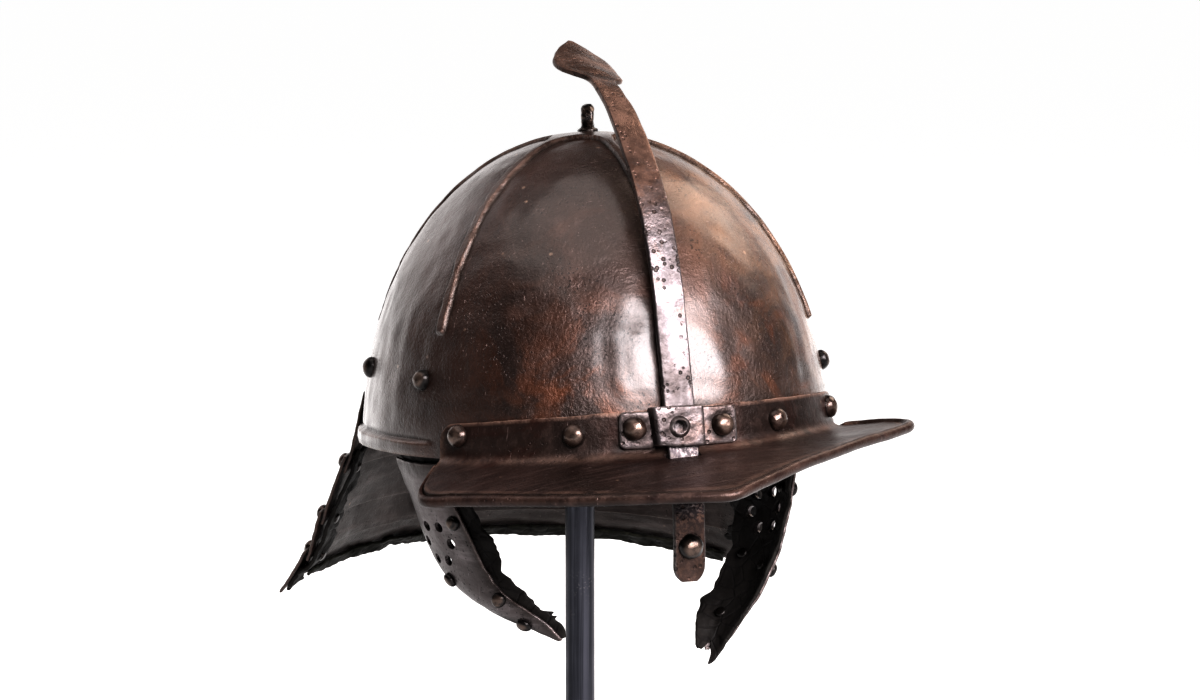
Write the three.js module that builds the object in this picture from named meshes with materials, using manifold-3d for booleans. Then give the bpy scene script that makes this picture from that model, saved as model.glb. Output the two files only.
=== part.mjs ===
// Lobster-tail pot helmet on a plain stand. Millimetres, +Z up, front of the
// helmet towards -Y, wearer's left towards +X, origin under the middle of the
// stand's base. The helmet is modelled in its own frame (rim plane at z = 0)
// and then tilted back a little on its pole.

import * as THREE from 'three';
import { mergeVertices } from 'three/addons/utils/BufferGeometryUtils.js';
import Module from 'manifold-3d';

const wasm = await Module();
wasm.setup();

// ---------------------------------------------------------------- dimensions
const GAP = 0.35;                 // clearance between neighbouring pieces

const RIM_HEIGHT = 175;           // rim plane above the floor, on the pole
const PITCH_DEG = 4;              // helmet leans back on the pole
const POLE_BACK = 20.15;          // pole axis behind the middle of the skull

const SKULL = { halfWidth: 100, halfLength: 111, height: 136, sunk: 6.5, power: 2.08, wall: 2.2 };
const SKULL_ROWS = [0, 5.6, 7.6, 20, 35, 49.2, 50.4, 66, 82, 96, 108, 117, 123, 126.4, 128.3];
const SKULL_INNER_ROWS = [0, 20, 42, 64, 84, 102, 116, 124.4];
const BORDER = { height: 6, flare: 2, fromDeg: 60, toDeg: 68 };
const RIB = { anglesDeg: [0, 62, 118, 180, 242, 298], width: 4.2, height: 1.7, endZ: 49.8, starRadius: 17, starFade: 6, filletReach: 30 };

const PEAK = {
  endDeg: 58, wall: 1.8, flangeTop: 20.5, flangeDrop: 4.3, flangeRoll: 0.03, flangeCorner: 6,
  foldZ: 3, slope: 0.19, roll: 0.042, edgeRoll: 0.03, reach: 40, beadRadius: 1.9, cornerRadius: 11,
  tip: { l: -2, f: 171 },
  right: { cornerL: -109, cornerF: 93, bulge: 8 }, left: { cornerL: 115, cornerF: 91, bulge: 1 },
};
const PEAK_RIVETS = [
  { name: 'peak_rivet_right_outer', planDeg: -50, z: 9.6 },
  { name: 'peak_rivet_right_inner', planDeg: -23, z: 10.8 },
  { name: 'peak_rivet_left_inner', planDeg: 23, z: 12.6 },
  { name: 'peak_rivet_left_outer', planDeg: 50, z: 13.2 },
];
const RIVET = { head: 5.2, rise: 4, shank: 1.9, button: 3.2, buttonRise: 1.1, sides: 8 };
const INSIDE_CLEAR = 0.9;         // room for the flats of the inner faces
const STRAP_RIVETS = [
  { name: 'strap_rivet_right_front', planDeg: -64, z: 31 },
  { name: 'strap_rivet_right_rear', planDeg: -97, z: 33 },
  { name: 'strap_rivet_left_front', planDeg: 64, z: 31 },
  { name: 'strap_rivet_left_rear', planDeg: 97, z: 33 },
];
const STRAP_RIVET = { head: 4.3, rise: 3.4, shank: 1.7, button: 3, buttonRise: 1, sides: 8 };

// nasal bar: straight part f = atRim - lean * z, then a table for the bends
const BAR = { l: -3.2, atRim: 117.4, lean: 0.2103, halfWidth: 6.4, thick: 3, leafTwistDeg: -12 };
const BAR_LOW = [
  { f: 120.2, z: -47.0, w: 3.4 }, { f: 120.4, z: -45.6, w: 5.2 }, { f: 120.8, z: -42.5, w: 6.4 },
  { f: 121.5, z: -34, w: 6.5 }, { f: 121.7, z: -26, w: 6.4 },
];
const BAR_STRAIGHT_Z = [-20, 0, 22, 44, 66];
const BAR_HIGH = [
  { f: 97.9, z: 82, w: 6.4, t: 3 }, { f: 90.3, z: 98, w: 6.4, t: 3 }, { f: 80.2, z: 112, w: 6.3, t: 3 },
  { f: 66.6, z: 126.4, w: 6.2, t: 3 }, { f: 52.6, z: 139, w: 6.0, t: 2.8 }, { f: 37, z: 148.4, w: 5.9, t: 2.6 },
  { f: 27.5, z: 151.8, w: 6.0, t: 2.4 }, { f: 23.8, z: 153.2, w: 8.6, t: 2.3 }, { f: 20.5, z: 154.6, w: 12.4, t: 2.3 },
  { f: 15, z: 156.8, w: 14.2, t: 2.3 }, { f: 7, z: 159.8, w: 14.0, t: 2.3 }, { f: -1, z: 163, w: 11.6, t: 2.3 },
  { f: -6.5, z: 165.4, w: 8.2, t: 2.2 }, { f: -10.5, z: 167.4, w: 4.4, t: 2.0 }, { f: -13.2, z: 169.2, w: 1.4, t: 1.6 },
];
const STOP_Z = -33;
const SLOT = { sideClear: 0.8, faceClear: 0.7 };
// bracket over the bar: half profile, distances from the flange
const BRACKET = {
  lowZ: 5.6, highZ: 20.4, holeRadius: 2.5, burrRadius: 4.1, burrRise: 1, earRivet: 17.4,
  profile: [
    { innerU: -24.2, inner: 0.35, outerU: -24.2, outer: 2.3 }, { innerU: -16.5, inner: 0.35, outerU: -16.5, outer: 2.3 },
    { innerU: -7.2, inner: 0.35, outerU: -9.6, outer: 2.3 }, { innerU: -7.0, inner: 5.6, outerU: -9.2, outer: 7.6 },
    { innerU: 0, inner: 5.6, outerU: 0, outer: 7.6 },
  ],
};

const LOOP = { ring: 3.4, wire: 2.6, collar: 4.2, collarRise: 0.9, shank: 2, sunk: 1 };

// tail: outer face, a row for each edge of a lame; radius and height at the
// middle of the back and at the ends
const TAIL = {
  thick: 1.4, tuck: 2.7, lap: 0.25, roll: 0.037, columns: 13,
  rows: [
    { midR: 111.5, midZ: 19.7, endR: 102.5, endZ: 19.7, endDeg: 61.8 },
    { midR: 119.5, midZ: -7.5, endR: 112.2, endZ: -9.9, endDeg: 62.2 },
    { midR: 132, midZ: -29.5, endR: 126.2, endZ: -36.4, endDeg: 59.4 },
    { midR: 141, midZ: -45, endR: 136, endZ: -56.4, endDeg: 56.6 },
    { midR: 148.5, midZ: -53.4, endR: 144.3, endZ: -68.6, endDeg: 54.6 },
    { midR: 157, midZ: -60.4, endR: 153, endZ: -78, endDeg: 52.6 },
  ],
};
const TAIL_RIVETS = [
  { name: 'tail_rivet_right', deg: -40 }, { name: 'tail_rivet_back', deg: 0 }, { name: 'tail_rivet_left', deg: 40 },
];
const TAIL_RIVET_ROW = 0.2;
const LAME_RIVET = { inset: 4.5, head: 3.3, rise: 2.2, shank: 1.3, button: 2.4, buttonRise: 0.9, sides: 7 };
const TAIL_LEATHER = { fromRow: 0.86, toRow: 4.62, nearDeg: 1.2, farDeg: 8.6, deep: 4.9, thick: 1.8 };
const EDGE_LEATHER = { fromRow: 4.45, toRow: 5.1, endDeg: 10, deep: 1.8, thick: 1.6, columns: 13 };

// cheek pieces: a row for each section, rear edge and front edge
const CHEEK = { thick: 1.5, cup: 4.2, across: 4, holeRadius: 2.3, rosette: 8.6, holes: 6, fromC: 0.05, toC: 0.9 };
const LINING = { thick: 1.6, fromC: -0.02, toC: 1.0, gap: 0.6, holeRadius: 3.2 };
const CHEEK_RIGHT = [
  { rl: -92.0, rf: 10, rz: -3, fl: -79.5, ff: 48, fz: -3 },
  { rl: -86.6, rf: 13, rz: -23, fl: -74, ff: 51.5, fz: -21.7 },
  { rl: -81.6, rf: 16.5, rz: -39, fl: -66.8, ff: 54.3, fz: -37.5 },
  { rl: -76.8, rf: 23, rz: -51, fl: -61.2, ff: 55.8, fz: -50.5 },
  { rl: -70.4, rf: 33.5, rz: -59.6, fl: -54.4, ff: 60, fz: -58.8 },
  { rl: -60.6, rf: 48, rz: -66.8, fl: -48, ff: 63.6, fz: -64.8 },
  { rl: -49.5, rf: 58.5, rz: -72.8, fl: -42.6, ff: 66, fz: -70.2 },
  { rl: -40.2, rf: 65.4, rz: -77.4, fl: -38.6, ff: 66.8, fz: -76.6 },
];
const CHEEK_LEFT = [
  { rl: 70.0, rf: 12, rz: -5, fl: 80, ff: 43, fz: -3 },
  { rl: 66.4, rf: 12.6, rz: -22, fl: 76, ff: 45, fz: -18.5 },
  { rl: 64.0, rf: 12.4, rz: -38.5, fl: 73.6, ff: 45.4, fz: -31 },
  { rl: 59.5, rf: 14.2, rz: -53.6, fl: 70.3, ff: 45.7, fz: -41.8 },
  { rl: 53.4, rf: 18, rz: -64.1, fl: 65.6, ff: 45.8, fz: -54.6 },
  { rl: 45.0, rf: 23, rz: -73.8, fl: 58.4, ff: 45.8, fz: -67.9 },
  { rl: 36.8, rf: 29.8, rz: -81.8, fl: 49.3, ff: 43.9, fz: -81.4 },
  { rl: 31.9, rf: 36.2, rz: -90.8, fl: 40.5, ff: 40.1, fz: -93.1 },
];
const CHEEK_RIVETS = [
  { tag: 'a', t: 0.19, c: 0.78 }, { tag: 'b', t: 0.46, c: 0.17 }, { tag: 'c', t: 0.57, c: 0.74 }, { tag: 'd', t: 0.8, c: 0.3 },
];
const CHEEK_RIVET = { head: 3.2, rise: 1.9, shank: 1.3, button: 2.4, buttonRise: 0.9, sides: 7 };
const ROSETTE = { t: 0.27, c: 0.38 };
// leather hanger above each cheek piece, on the inside of the skull
const HANGER = [
  { z: 40, rearPlan: 103, frontPlan: 58, rearIn: { right: 0, left: 0 }, frontIn: { right: 0, left: 0 } },
  { z: 25, rearPlan: 101, frontPlan: 57, rearIn: { right: 0, left: 0 }, frontIn: { right: 0, left: 0 } },
  { z: 10, rearPlan: 92, frontPlan: 57, rearIn: { right: 0, left: 12 }, frontIn: { right: 0, left: 3 } },
];

const POLE = { radius: 6.5, sides: 20 };
const KNOB = { radius: 18, depth: 26, sides: 16 };
const BASE = { radius: 84, thick: 10, edge: 2.5, sides: 36 };

// ------------------------------------------------------------------- helpers
const rad = THREE.MathUtils.degToRad;
const smooth = (x, a, b) => THREE.MathUtils.smoothstep(x, Math.min(a, b), Math.max(a, b));
const mix = THREE.MathUtils.lerp;
const at = (l, f, z) => new THREE.Vector3(l, -f, z);

function geometryOf(points, faces) {
  const g = new THREE.BufferGeometry();
  const xyz = new Float32Array(points.length * 3);
  points.forEach((p, i) => xyz.set([p.x, p.y, p.z], 3 * i));
  let volume = 0;
  const a = new THREE.Vector3();
  for (const [i, j, k] of faces) volume += points[i].dot(a.crossVectors(points[j], points[k]));
  const index = volume < 0 ? faces.map(([i, j, k]) => [i, k, j]) : faces;
  g.setAttribute('position', new THREE.BufferAttribute(xyz, 3));
  g.setIndex(index.flat());
  g.computeVertexNormals();
  return g;
}

// closed skin over a row of rings with the same number of points; each end is
// a single point or a flat cap
function skin(rings, { first = null, last = null } = {}) {
  const m = rings[0].length;
  const points = rings.flat();
  const faces = [];
  for (let k = 0; k + 1 < rings.length; k++) {
    for (let i = 0; i < m; i++) {
      const j = (i + 1) % m, A = k * m + i, B = k * m + j, C = (k + 1) * m + j, D = (k + 1) * m + i;
      const short = points[A].distanceToSquared(points[C]) <= points[B].distanceToSquared(points[D]);
      if (short) faces.push([A, B, C], [A, C, D]); else faces.push([A, B, D], [B, C, D]);
    }
  }
  const end = (ring, base, tip, back) => {
    let tris;
    if (tip) {
      const n = points.push(tip) - 1;
      tris = ring.map((_, i) => [base + i, base + (i + 1) % m, n]);
    } else {
      const normal = new THREE.Vector3(), c = new THREE.Vector3();
      ring.forEach((p, i) => normal.add(c.crossVectors(p, ring[(i + 1) % m])));
      normal.normalize();
      const u = new THREE.Vector3().subVectors(ring[1], ring[0]).projectOnPlane(normal).normalize();
      const v = new THREE.Vector3().crossVectors(normal, u);
      const flat = ring.map((p) => new THREE.Vector2(p.dot(u), p.dot(v)));
      tris = THREE.ShapeUtils.triangulateShape(flat, []).map((t) => t.map((i) => base + i));
    }
    for (const [i, j, k] of tris) faces.push(back ? [i, k, j] : [i, j, k]);
  };
  end(rings[0], 0, first, true);
  end(rings[rings.length - 1], (rings.length - 1) * m, last, false);
  return geometryOf(points, faces);
}

function solid(geometry) {
  const g = geometry.clone();
  for (const name of Object.keys(g.attributes)) if (name !== 'position') g.deleteAttribute(name);
  const merged = mergeVertices(g, 1e-4);
  const index = Array.from(merged.index.array), kept = [];
  for (let i = 0; i < index.length; i += 3) {
    const [a, b, c] = index.slice(i, i + 3);
    if (a !== b && b !== c && c !== a) kept.push(a, b, c);
  }
  return new wasm.Manifold(new wasm.Mesh({
    numProp: 3,
    vertProperties: new Float32Array(merged.attributes.position.array),
    triVerts: new Uint32Array(kept),
  }));
}

function geometryFrom(manifold) {
  const mesh = manifold.getMesh();
  const g = new THREE.BufferGeometry();
  g.setAttribute('position', new THREE.BufferAttribute(new Float32Array(mesh.vertProperties), 3));
  g.setIndex(Array.from(mesh.triVerts));
  g.computeVertexNormals();
  return g;
}

const cut = (geometry, tools) => geometryFrom(tools.reduce((s, t) => s.subtract(solid(t)), solid(geometry)));
const join = (geometry, more) => geometryFrom(more.reduce((s, t) => s.add(solid(t)), solid(geometry)));

// a turned piece whose profile runs from the axis to the axis, along +Z
const turned = (profile, sides) => new THREE.LatheGeometry(profile.map(([r, z]) => new THREE.Vector2(r, z)), sides).rotateX(Math.PI / 2);

// placed with its +Z along a direction
function along(geometry, point, direction) {
  const q = new THREE.Quaternion().setFromUnitVectors(new THREE.Vector3(0, 0, 1), direction.clone().normalize());
  return geometry.clone().applyQuaternion(q).translate(point.x, point.y, point.z);
}

// rivet along +Z: z = 0 is the outer face it sits on, grip is what it holds
function rivet({ head, rise, shank, button, buttonRise, sides }, grip) {
  const low = -grip - GAP;
  return turned([
    [0, low - buttonRise], [button, low], [shank, low], [shank, GAP], [head, GAP], [head * 0.8, GAP + rise * 0.66], [0, GAP + rise],
  ], sides);
}
function hole(radius, reach, sides = 6) {
  const r = radius / Math.cos(Math.PI / sides);
  return turned([[0, -reach], [r, -reach], [r, reach], [0, reach]], sides);
}

const material = (color, roughness, metalness) => new THREE.MeshStandardMaterial({ color, roughness, metalness });
const IRON = () => material(0x4a3a34, 0.42, 0.85);
const IRON_WARM = () => material(0x4d3428, 0.4, 0.85);
const STEEL_WORN = () => material(0x7d716b, 0.45, 0.9);
const RIVET_IRON = () => material(0x33241d, 0.35, 0.85);
const LEATHER = () => material(0x15110f, 0.8, 0);
const STAND_STEEL = () => material(0x3c4048, 0.35, 0.9);

const helmet = new THREE.Group();
helmet.position.set(0, -POLE_BACK, RIM_HEIGHT);
helmet.rotation.x = -rad(PITCH_DEG);
const stand = new THREE.Group();

function piece(name, geometry, look, group = helmet) {
  const mesh = new THREE.Mesh(geometry, look);
  mesh.name = name;
  group.add(mesh);
}

// --------------------------------------------------------------------- skull
function skullScale(z, off = 0) {
  const h = Math.min((z + SKULL.sunk) / (SKULL.height + off), 1);
  return Math.pow(Math.max(1 - Math.pow(h, SKULL.power), 0), 1 / SKULL.power);
}
function skullNormal(angle, z) {
  const g = Math.max(skullScale(z), 1e-4), n = SKULL.power;
  const h = (z + SKULL.sunk) / SKULL.height;
  return at(Math.pow(g, n - 1) * Math.sin(angle) / SKULL.halfWidth, Math.pow(g, n - 1) * Math.cos(angle) / SKULL.halfLength,
    Math.pow(h, n - 1) / SKULL.height).normalize();
}
// point of the outer face at an angle round the ellipse and a height, moved out by off
function skullPoint(angle, z, off = 0) {
  const g = skullScale(z);
  return at(SKULL.halfWidth * g * Math.sin(angle), SKULL.halfLength * g * Math.cos(angle), z)
    .addScaledVector(skullNormal(angle, z), off);
}
// angle round the ellipse for an angle seen in plan
const planAngle = (deg) => Math.atan2(Math.sin(rad(deg)) / SKULL.halfWidth, Math.cos(rad(deg)) / SKULL.halfLength);

function skullGeometry() {
  const between = 3;
  const ribs = RIB.anglesDeg.map(rad);
  const columnsAt = (z, r) => {
    const fade = 1 - smooth(z, RIB.endZ - 0.6, RIB.endZ + 0.6);
    const star = 1 - smooth(r, RIB.starRadius, RIB.starRadius + RIB.starFade);
    const half = RIB.width / 2 + 5 * Math.pow(Math.max(0, 1 - (r - RIB.starRadius) / RIB.filletReach), 3) * (r > RIB.starRadius ? 1 : 0)
      + (r <= RIB.starRadius ? 5 : 0);
    const halfAngle = Math.min(half / Math.max(r, 1), rad(24));
    const lip = Math.min(1.1 / Math.max(r, 1), rad(3));
    const out = [];
    ribs.forEach((a, k) => {
      const next = k + 1 < ribs.length ? ribs[k + 1] : ribs[0] + 2 * Math.PI;
      const up = RIB.height * (1 - fade), low = RIB.height * star * (1 - fade);
      out.push([a - halfAngle, up], [a + halfAngle, up], [a + halfAngle + lip, low]);
      for (let i = 1; i <= between; i++) out.push([mix(a + halfAngle + lip, next - halfAngle - lip, i / (between + 1)), low]);
      out.push([next - halfAngle - lip, low]);
    });
    return out;
  };
  const wrap = (a) => Math.abs(Math.atan2(Math.sin(a), Math.cos(a)));
  const outer = SKULL_ROWS.map((z) => {
    const r = skullScale(z) * (SKULL.halfWidth + SKULL.halfLength) / 2;
    const flare = z < BORDER.height ? BORDER.flare : 0;
    return columnsAt(z, r).map(([a, up]) => skullPoint(a, z, up + flare * smooth(wrap(a), rad(BORDER.fromDeg), rad(BORDER.toDeg))));
  });
  const inner = SKULL_INNER_ROWS.map((z) => {
    const r = skullScale(z) * (SKULL.halfWidth + SKULL.halfLength) / 2;
    return columnsAt(z, r).map(([a]) => {
      const p = skullPoint(a, z, -SKULL.wall);
      if (z === 0) p.z = 0;
      return p;
    });
  });
  outer[0].forEach((p) => { p.z = 0; });
  const top = SKULL.height - SKULL.sunk;
  return skin([...outer.reverse(), ...inner], { first: at(0, 0, top + RIB.height), last: at(0, 0, top - SKULL.wall) });
}

// places of the rivets that go through the skull: outer face they sit on
const skullHoles = [];
function skullRivet(name, planDeg, z, form = RIVET) {
  const a = planAngle(planDeg), n = skullNormal(a, z);
  const drill = along(hole(form.shank + GAP, 16), skullPoint(a, z), n);
  skullHoles.push(drill);
  return { drill, place: (outside, inside) => piece(name, along(rivet(form, outside + SKULL.wall + inside), skullPoint(a, z, outside), n), RIVET_IRON()) };
}

// ---------------------------------------------------------------------- peak
const flangeOut = GAP + PEAK.wall;
const skullRadiusAt = (l, f) => 1 / Math.hypot(l / Math.hypot(l, f) / SKULL.halfWidth, f / Math.hypot(l, f) / SKULL.halfLength);
const peakZ = (l, f) => {
  const reach = Math.hypot(l, f) - skullRadiusAt(l, f) - flangeOut;
  return PEAK.foldZ - PEAK.slope * reach + PEAK.roll * l + PEAK.edgeRoll * l * THREE.MathUtils.clamp(reach / PEAK.reach, 0, 1);
};

function peakOutline(side) {
  const tip = new THREE.Vector2(PEAK.tip.l, PEAK.tip.f);
  const half = side < 0 ? PEAK.right : PEAK.left;
  const corner = new THREE.Vector2(half.cornerL, half.cornerF);
  const rootAngle = rad(PEAK.endDeg) * side;
  const root = skullPoint(rootAngle, 2, flangeOut + 2.6);
  const end = new THREE.Vector2(root.x, -root.y);
  const toTip = tip.clone().sub(corner).normalize(), toEnd = end.clone().sub(corner).normalize();
  const path = new THREE.Path();
  const side1 = corner.clone().addScaledVector(toTip, PEAK.cornerRadius), side2 = corner.clone().addScaledVector(toEnd, PEAK.cornerRadius);
  const middle = tip.clone().add(side1).multiplyScalar(0.5).add(new THREE.Vector2(side * toTip.y, -side * toTip.x).multiplyScalar(half.bulge * 2));
  path.moveTo(tip.x, tip.y);
  path.quadraticCurveTo(middle.x, middle.y, side1.x, side1.y);
  path.quadraticCurveTo(corner.x, corner.y, side2.x, side2.y);
  path.lineTo(end.x, end.y);
  return path;
}

function peakGeometry() {
  const steps = [0, 0.04, 0.12, 0.23, 0.35, 0.47, 0.57, 0.64, 0.69, 0.735, 0.78, 0.84, 0.9, 0.95, 0.975, 1];
  const section = (side, w) => {
    const path = peakOutline(side);
    const edge = path.getPointAt(w);
    const angle = side * rad(PEAK.endDeg) * (1 - Math.pow(1 - Math.min(w * 1.02, 1), 1.35));
    const endness = rad(PEAK.endDeg) - Math.abs(angle);
    const arc = endness * SKULL.halfWidth;
    const round = arc < PEAK.flangeCorner ? PEAK.flangeCorner - Math.sqrt(Math.max(0, PEAK.flangeCorner ** 2 - (PEAK.flangeCorner - arc) ** 2)) : 0;
    const l0 = skullPoint(angle, 8).x;
    const topZ = PEAK.flangeTop - PEAK.flangeDrop * (angle / rad(PEAK.endDeg)) ** 2 + PEAK.flangeRoll * l0 - round;
    const onFlange = (z, off) => skullPoint(angle, z, off);
    const inPlan = (p) => new THREE.Vector2(p.x, -p.y);
    const rootIn = onFlange(2, GAP), rootOut = onFlange(2, flangeOut);
    const foldZ = peakZ(rootOut.x, -rootOut.y);
    const brim = (k, down) => {
      const q = inPlan(k < 0 ? rootIn : rootOut).lerp(edge, Math.max(k, 0));
      return at(q.x, q.y, peakZ(q.x, q.y) - (down ? PEAK.wall : 0));
    };
    const out = edge.clone().sub(inPlan(rootOut)).normalize();
    const width = edge.distanceTo(inPlan(rootOut));
    const r = Math.min(PEAK.beadRadius, width * 0.26);
    const bead = (turn) => {
      const c = edge.clone().addScaledVector(out, -r), z = peakZ(edge.x, edge.y) - PEAK.wall / 2;
      return at(c.x + out.x * r * Math.cos(turn), c.y + out.y * r * Math.cos(turn), z + r * Math.sin(turn));
    };
    const inset = 1 - (1.9 * r) / width;
    const fold = Math.min(1.2 / width, 0.12);
    return [
      onFlange(topZ, GAP), onFlange(mix(topZ, foldZ, 0.5), GAP), onFlange(foldZ - PEAK.wall, GAP),
      brim(inset * 0.45, true), brim(inset, true),
      bead(-1.7), bead(-0.6), bead(0.6), bead(1.7),
      brim(inset, false), brim(inset * 0.45, false), brim(fold, false),
      onFlange(foldZ + 1.4, flangeOut), onFlange(mix(topZ, foldZ, 0.5), flangeOut), onFlange(topZ, flangeOut),
    ];
  };
  const rings = [
    ...steps.slice(1).reverse().map((w) => section(-1, w)), section(1, 0), ...steps.slice(1).map((w) => section(1, w)),
  ];
  return skin(rings);
}

// ----------------------------------------------------------------- nasal bar
const barF = (z) => BAR.atRim - BAR.lean * z;
const barUp = at(0, -BAR.lean, 1).normalize();
const barOut = at(0, 1, BAR.lean).normalize();

function barGeometry() {
  const rows = [
    ...BAR_LOW.map((r) => ({ ...r, t: BAR.thick })),
    ...BAR_STRAIGHT_Z.map((z) => ({ f: barF(z), z, w: BAR.halfWidth, t: BAR.thick })),
    ...BAR_HIGH,
  ];
  const rings = rows.map((r, i) => {
    const a = rows[Math.max(i - 1, 0)], b = rows[Math.min(i + 1, rows.length - 1)];
    const tangent = at(0, b.f - a.f, b.z - a.z).normalize();
    const turn = rad(BAR.leafTwistDeg) * smooth(r.z, 126, 152);
    const across = new THREE.Vector3(1, 0, 0).applyAxisAngle(tangent, -turn);
    const out = new THREE.Vector3().crossVectors(tangent, across).normalize().negate();
    const chamfer = Math.min(0.7, r.w * 0.4, r.t * 0.3);
    const c = at(BAR.l, r.f, r.z);
    const corner = (u, v) => c.clone().addScaledVector(across, u).addScaledVector(out, v);
    const w = r.w, h = r.t / 2;
    return [
      corner(-w, -h + chamfer), corner(-w + chamfer, -h), corner(w - chamfer, -h), corner(w, -h + chamfer),
      corner(w, h - chamfer), corner(w - chamfer, h), corner(-w + chamfer, h), corner(-w, h - chamfer),
    ];
  });
  return skin(rings);
}

const stopFace = at(BAR.l, 121.55 + BAR.thick / 2, STOP_Z);
const stopOut = at(0, 1, 0.03).normalize();
const stopForm = { head: 5.4, rise: 4.2, shank: 1.9, button: 3.4, buttonRise: 1.2, sides: RIVET.sides };

function slotTool() {
  const g = new THREE.BoxGeometry(2 * (BAR.halfWidth + SLOT.sideClear), BAR.thick + 2 * SLOT.faceClear, 30);
  const m = new THREE.Matrix4().makeBasis(new THREE.Vector3(1, 0, 0), barOut.clone().negate(), barUp);
  return g.applyMatrix4(m).translate(BAR.l, -barF(0), 0);
}

// ------------------------------------------------------------------- bracket
const flangeAngleAt = (l) => Math.asin(THREE.MathUtils.clamp(l / (SKULL.halfWidth * skullScale(13)), -1, 1));
function bracketGeometry() {
  const half = BRACKET.profile;
  const rows = [...half, ...half.slice(0, -1).reverse().map((r) => ({ ...r, innerU: -r.innerU, outerU: -r.outerU }))];
  const rings = rows.map((r) => {
    const p = (u, z, off) => skullPoint(flangeAngleAt(BAR.l + u), z, flangeOut + off);
    return [p(r.innerU, BRACKET.lowZ, r.inner), p(r.innerU, BRACKET.highZ, r.inner), p(r.outerU, BRACKET.highZ, r.outer), p(r.outerU, BRACKET.lowZ, r.outer)];
  });
  const a = flangeAngleAt(BAR.l), z = (BRACKET.lowZ + BRACKET.highZ) / 2;
  const front = half[half.length - 1].outer;
  const c = skullPoint(a, z, flangeOut + front), n = skullNormal(a, z);
  const burr = along(turned([[0, -0.6], [BRACKET.burrRadius, -0.6], [BRACKET.burrRadius * 0.82, BRACKET.burrRise], [0, BRACKET.burrRise]], 10), c, n);
  const bore = along(turned([[0, -3.2], [BRACKET.holeRadius, -3.2], [BRACKET.holeRadius, 4], [0, 4]], 10), c, n);
  return cut(join(skin(rings), [burr]), [bore]);
}

// ---------------------------------------------------------------- crown loop
function loopGeometry() {
  const top = SKULL.height - SKULL.sunk + RIB.height;
  const ring = new THREE.TorusGeometry(LOOP.ring, LOOP.wire, 7, 14).rotateY(Math.PI / 2)
    .translate(0, 0, top + GAP + LOOP.collarRise + LOOP.ring + LOOP.wire - LOOP.sunk);
  const low = top - RIB.height - SKULL.wall - INSIDE_CLEAR;
  const foot = turned([
    [0, low - 1.2], [3.4, low - 0.8], [3.4, low], [LOOP.shank, low], [LOOP.shank, top + GAP],
    [LOOP.collar, top + GAP], [LOOP.collar * 0.9, top + GAP + LOOP.collarRise], [0, top + GAP + LOOP.collarRise + 0.3],
  ], 10);
  return join(ring, [foot]);
}

// ---------------------------------------------------------------------- tail
// point of the tail's outer face: row along the lames, turn from -1 to 1 along
// the edge, moved along the face's normal by off
function tailRow(s) {
  const k = Math.min(Math.floor(s), TAIL.rows.length - 2), t = s - k;
  const a = TAIL.rows[k], b = TAIL.rows[k + 1], out = {};
  for (const key of Object.keys(a)) out[key] = mix(a[key], b[key], t);
  return out;
}
function tailFace(s, deg) {
  const r = tailRow(s), q = (deg / r.endDeg) ** 2;
  const radius = mix(r.midR, r.endR, q), z = mix(r.midZ, r.endZ, q);
  const l = Math.sin(rad(deg)) * radius, f = -Math.cos(rad(deg)) * radius;
  return at(l, f, z - TAIL.roll * l * Math.min(s / 4, 1));
}
function tailNormal(s, deg) {
  const e = 0.02, down = tailFace(Math.min(s + e, 5.2), deg).sub(tailFace(Math.max(s - e, 0), deg));
  const round = tailFace(s, deg + 0.5).sub(tailFace(s, deg - 0.5));
  const n = new THREE.Vector3().crossVectors(round, down).normalize();
  const p = tailFace(s, deg);
  return n.dot(new THREE.Vector3(p.x, p.y, 0)) < 0 ? n.negate() : n;
}
const tailPoint = (s, deg, off) => tailFace(s, deg).addScaledVector(tailNormal(s, deg), off);

const LAMES = [
  { name: 'tail_lame_1', from: 0, to: 1 + TAIL.lap, stops: [0, 0.4, 0.8, 1] },
  { name: 'tail_lame_2', from: 1, to: 2 + TAIL.lap, stops: [0, 0.4, 0.8, 1] },
  { name: 'tail_lame_3', from: 2, to: 3 + TAIL.lap, stops: [0, 0.4, 0.8, 1] },
  { name: 'tail_lame_4', from: 3, to: 5, stops: [0, 0.25, 0.5, 0.75, 1] },
];
function lameGeometry({ from, to, stops }, last) {
  const rings = [];
  for (let i = 0; i < TAIL.columns; i++) {
    const turn = -1 + 2 * i / (TAIL.columns - 1);
    const across = stops.map((k) => [mix(from, to, k), last ? 0 : -TAIL.tuck * k]);
    const p = (s, off) => tailPoint(s, turn * tailRow(s).endDeg, off);
    rings.push([...across.map(([s, off]) => p(s, off)), ...across.reverse().map(([s, off]) => p(s, off - TAIL.thick))]);
  }
  return skin(rings);
}

function stripGeometry(fromRow, toRow, rowSteps, degs, deep, thick) {
  const rings = degs.map((degAt) => {
    const rows = Array.from({ length: rowSteps + 1 }, (_, i) => mix(fromRow, toRow, i / rowSteps));
    return [...rows.map((s) => tailPoint(s, degAt(s), -deep)), ...rows.reverse().map((s) => tailPoint(s, degAt(s), -deep - thick))];
  });
  return skin(rings);
}

// -------------------------------------------------------------------- cheeks
const rowPoints = (r) => [at(r.rl, r.rf, r.rz), at(r.fl, r.ff, r.fz)];
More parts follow.
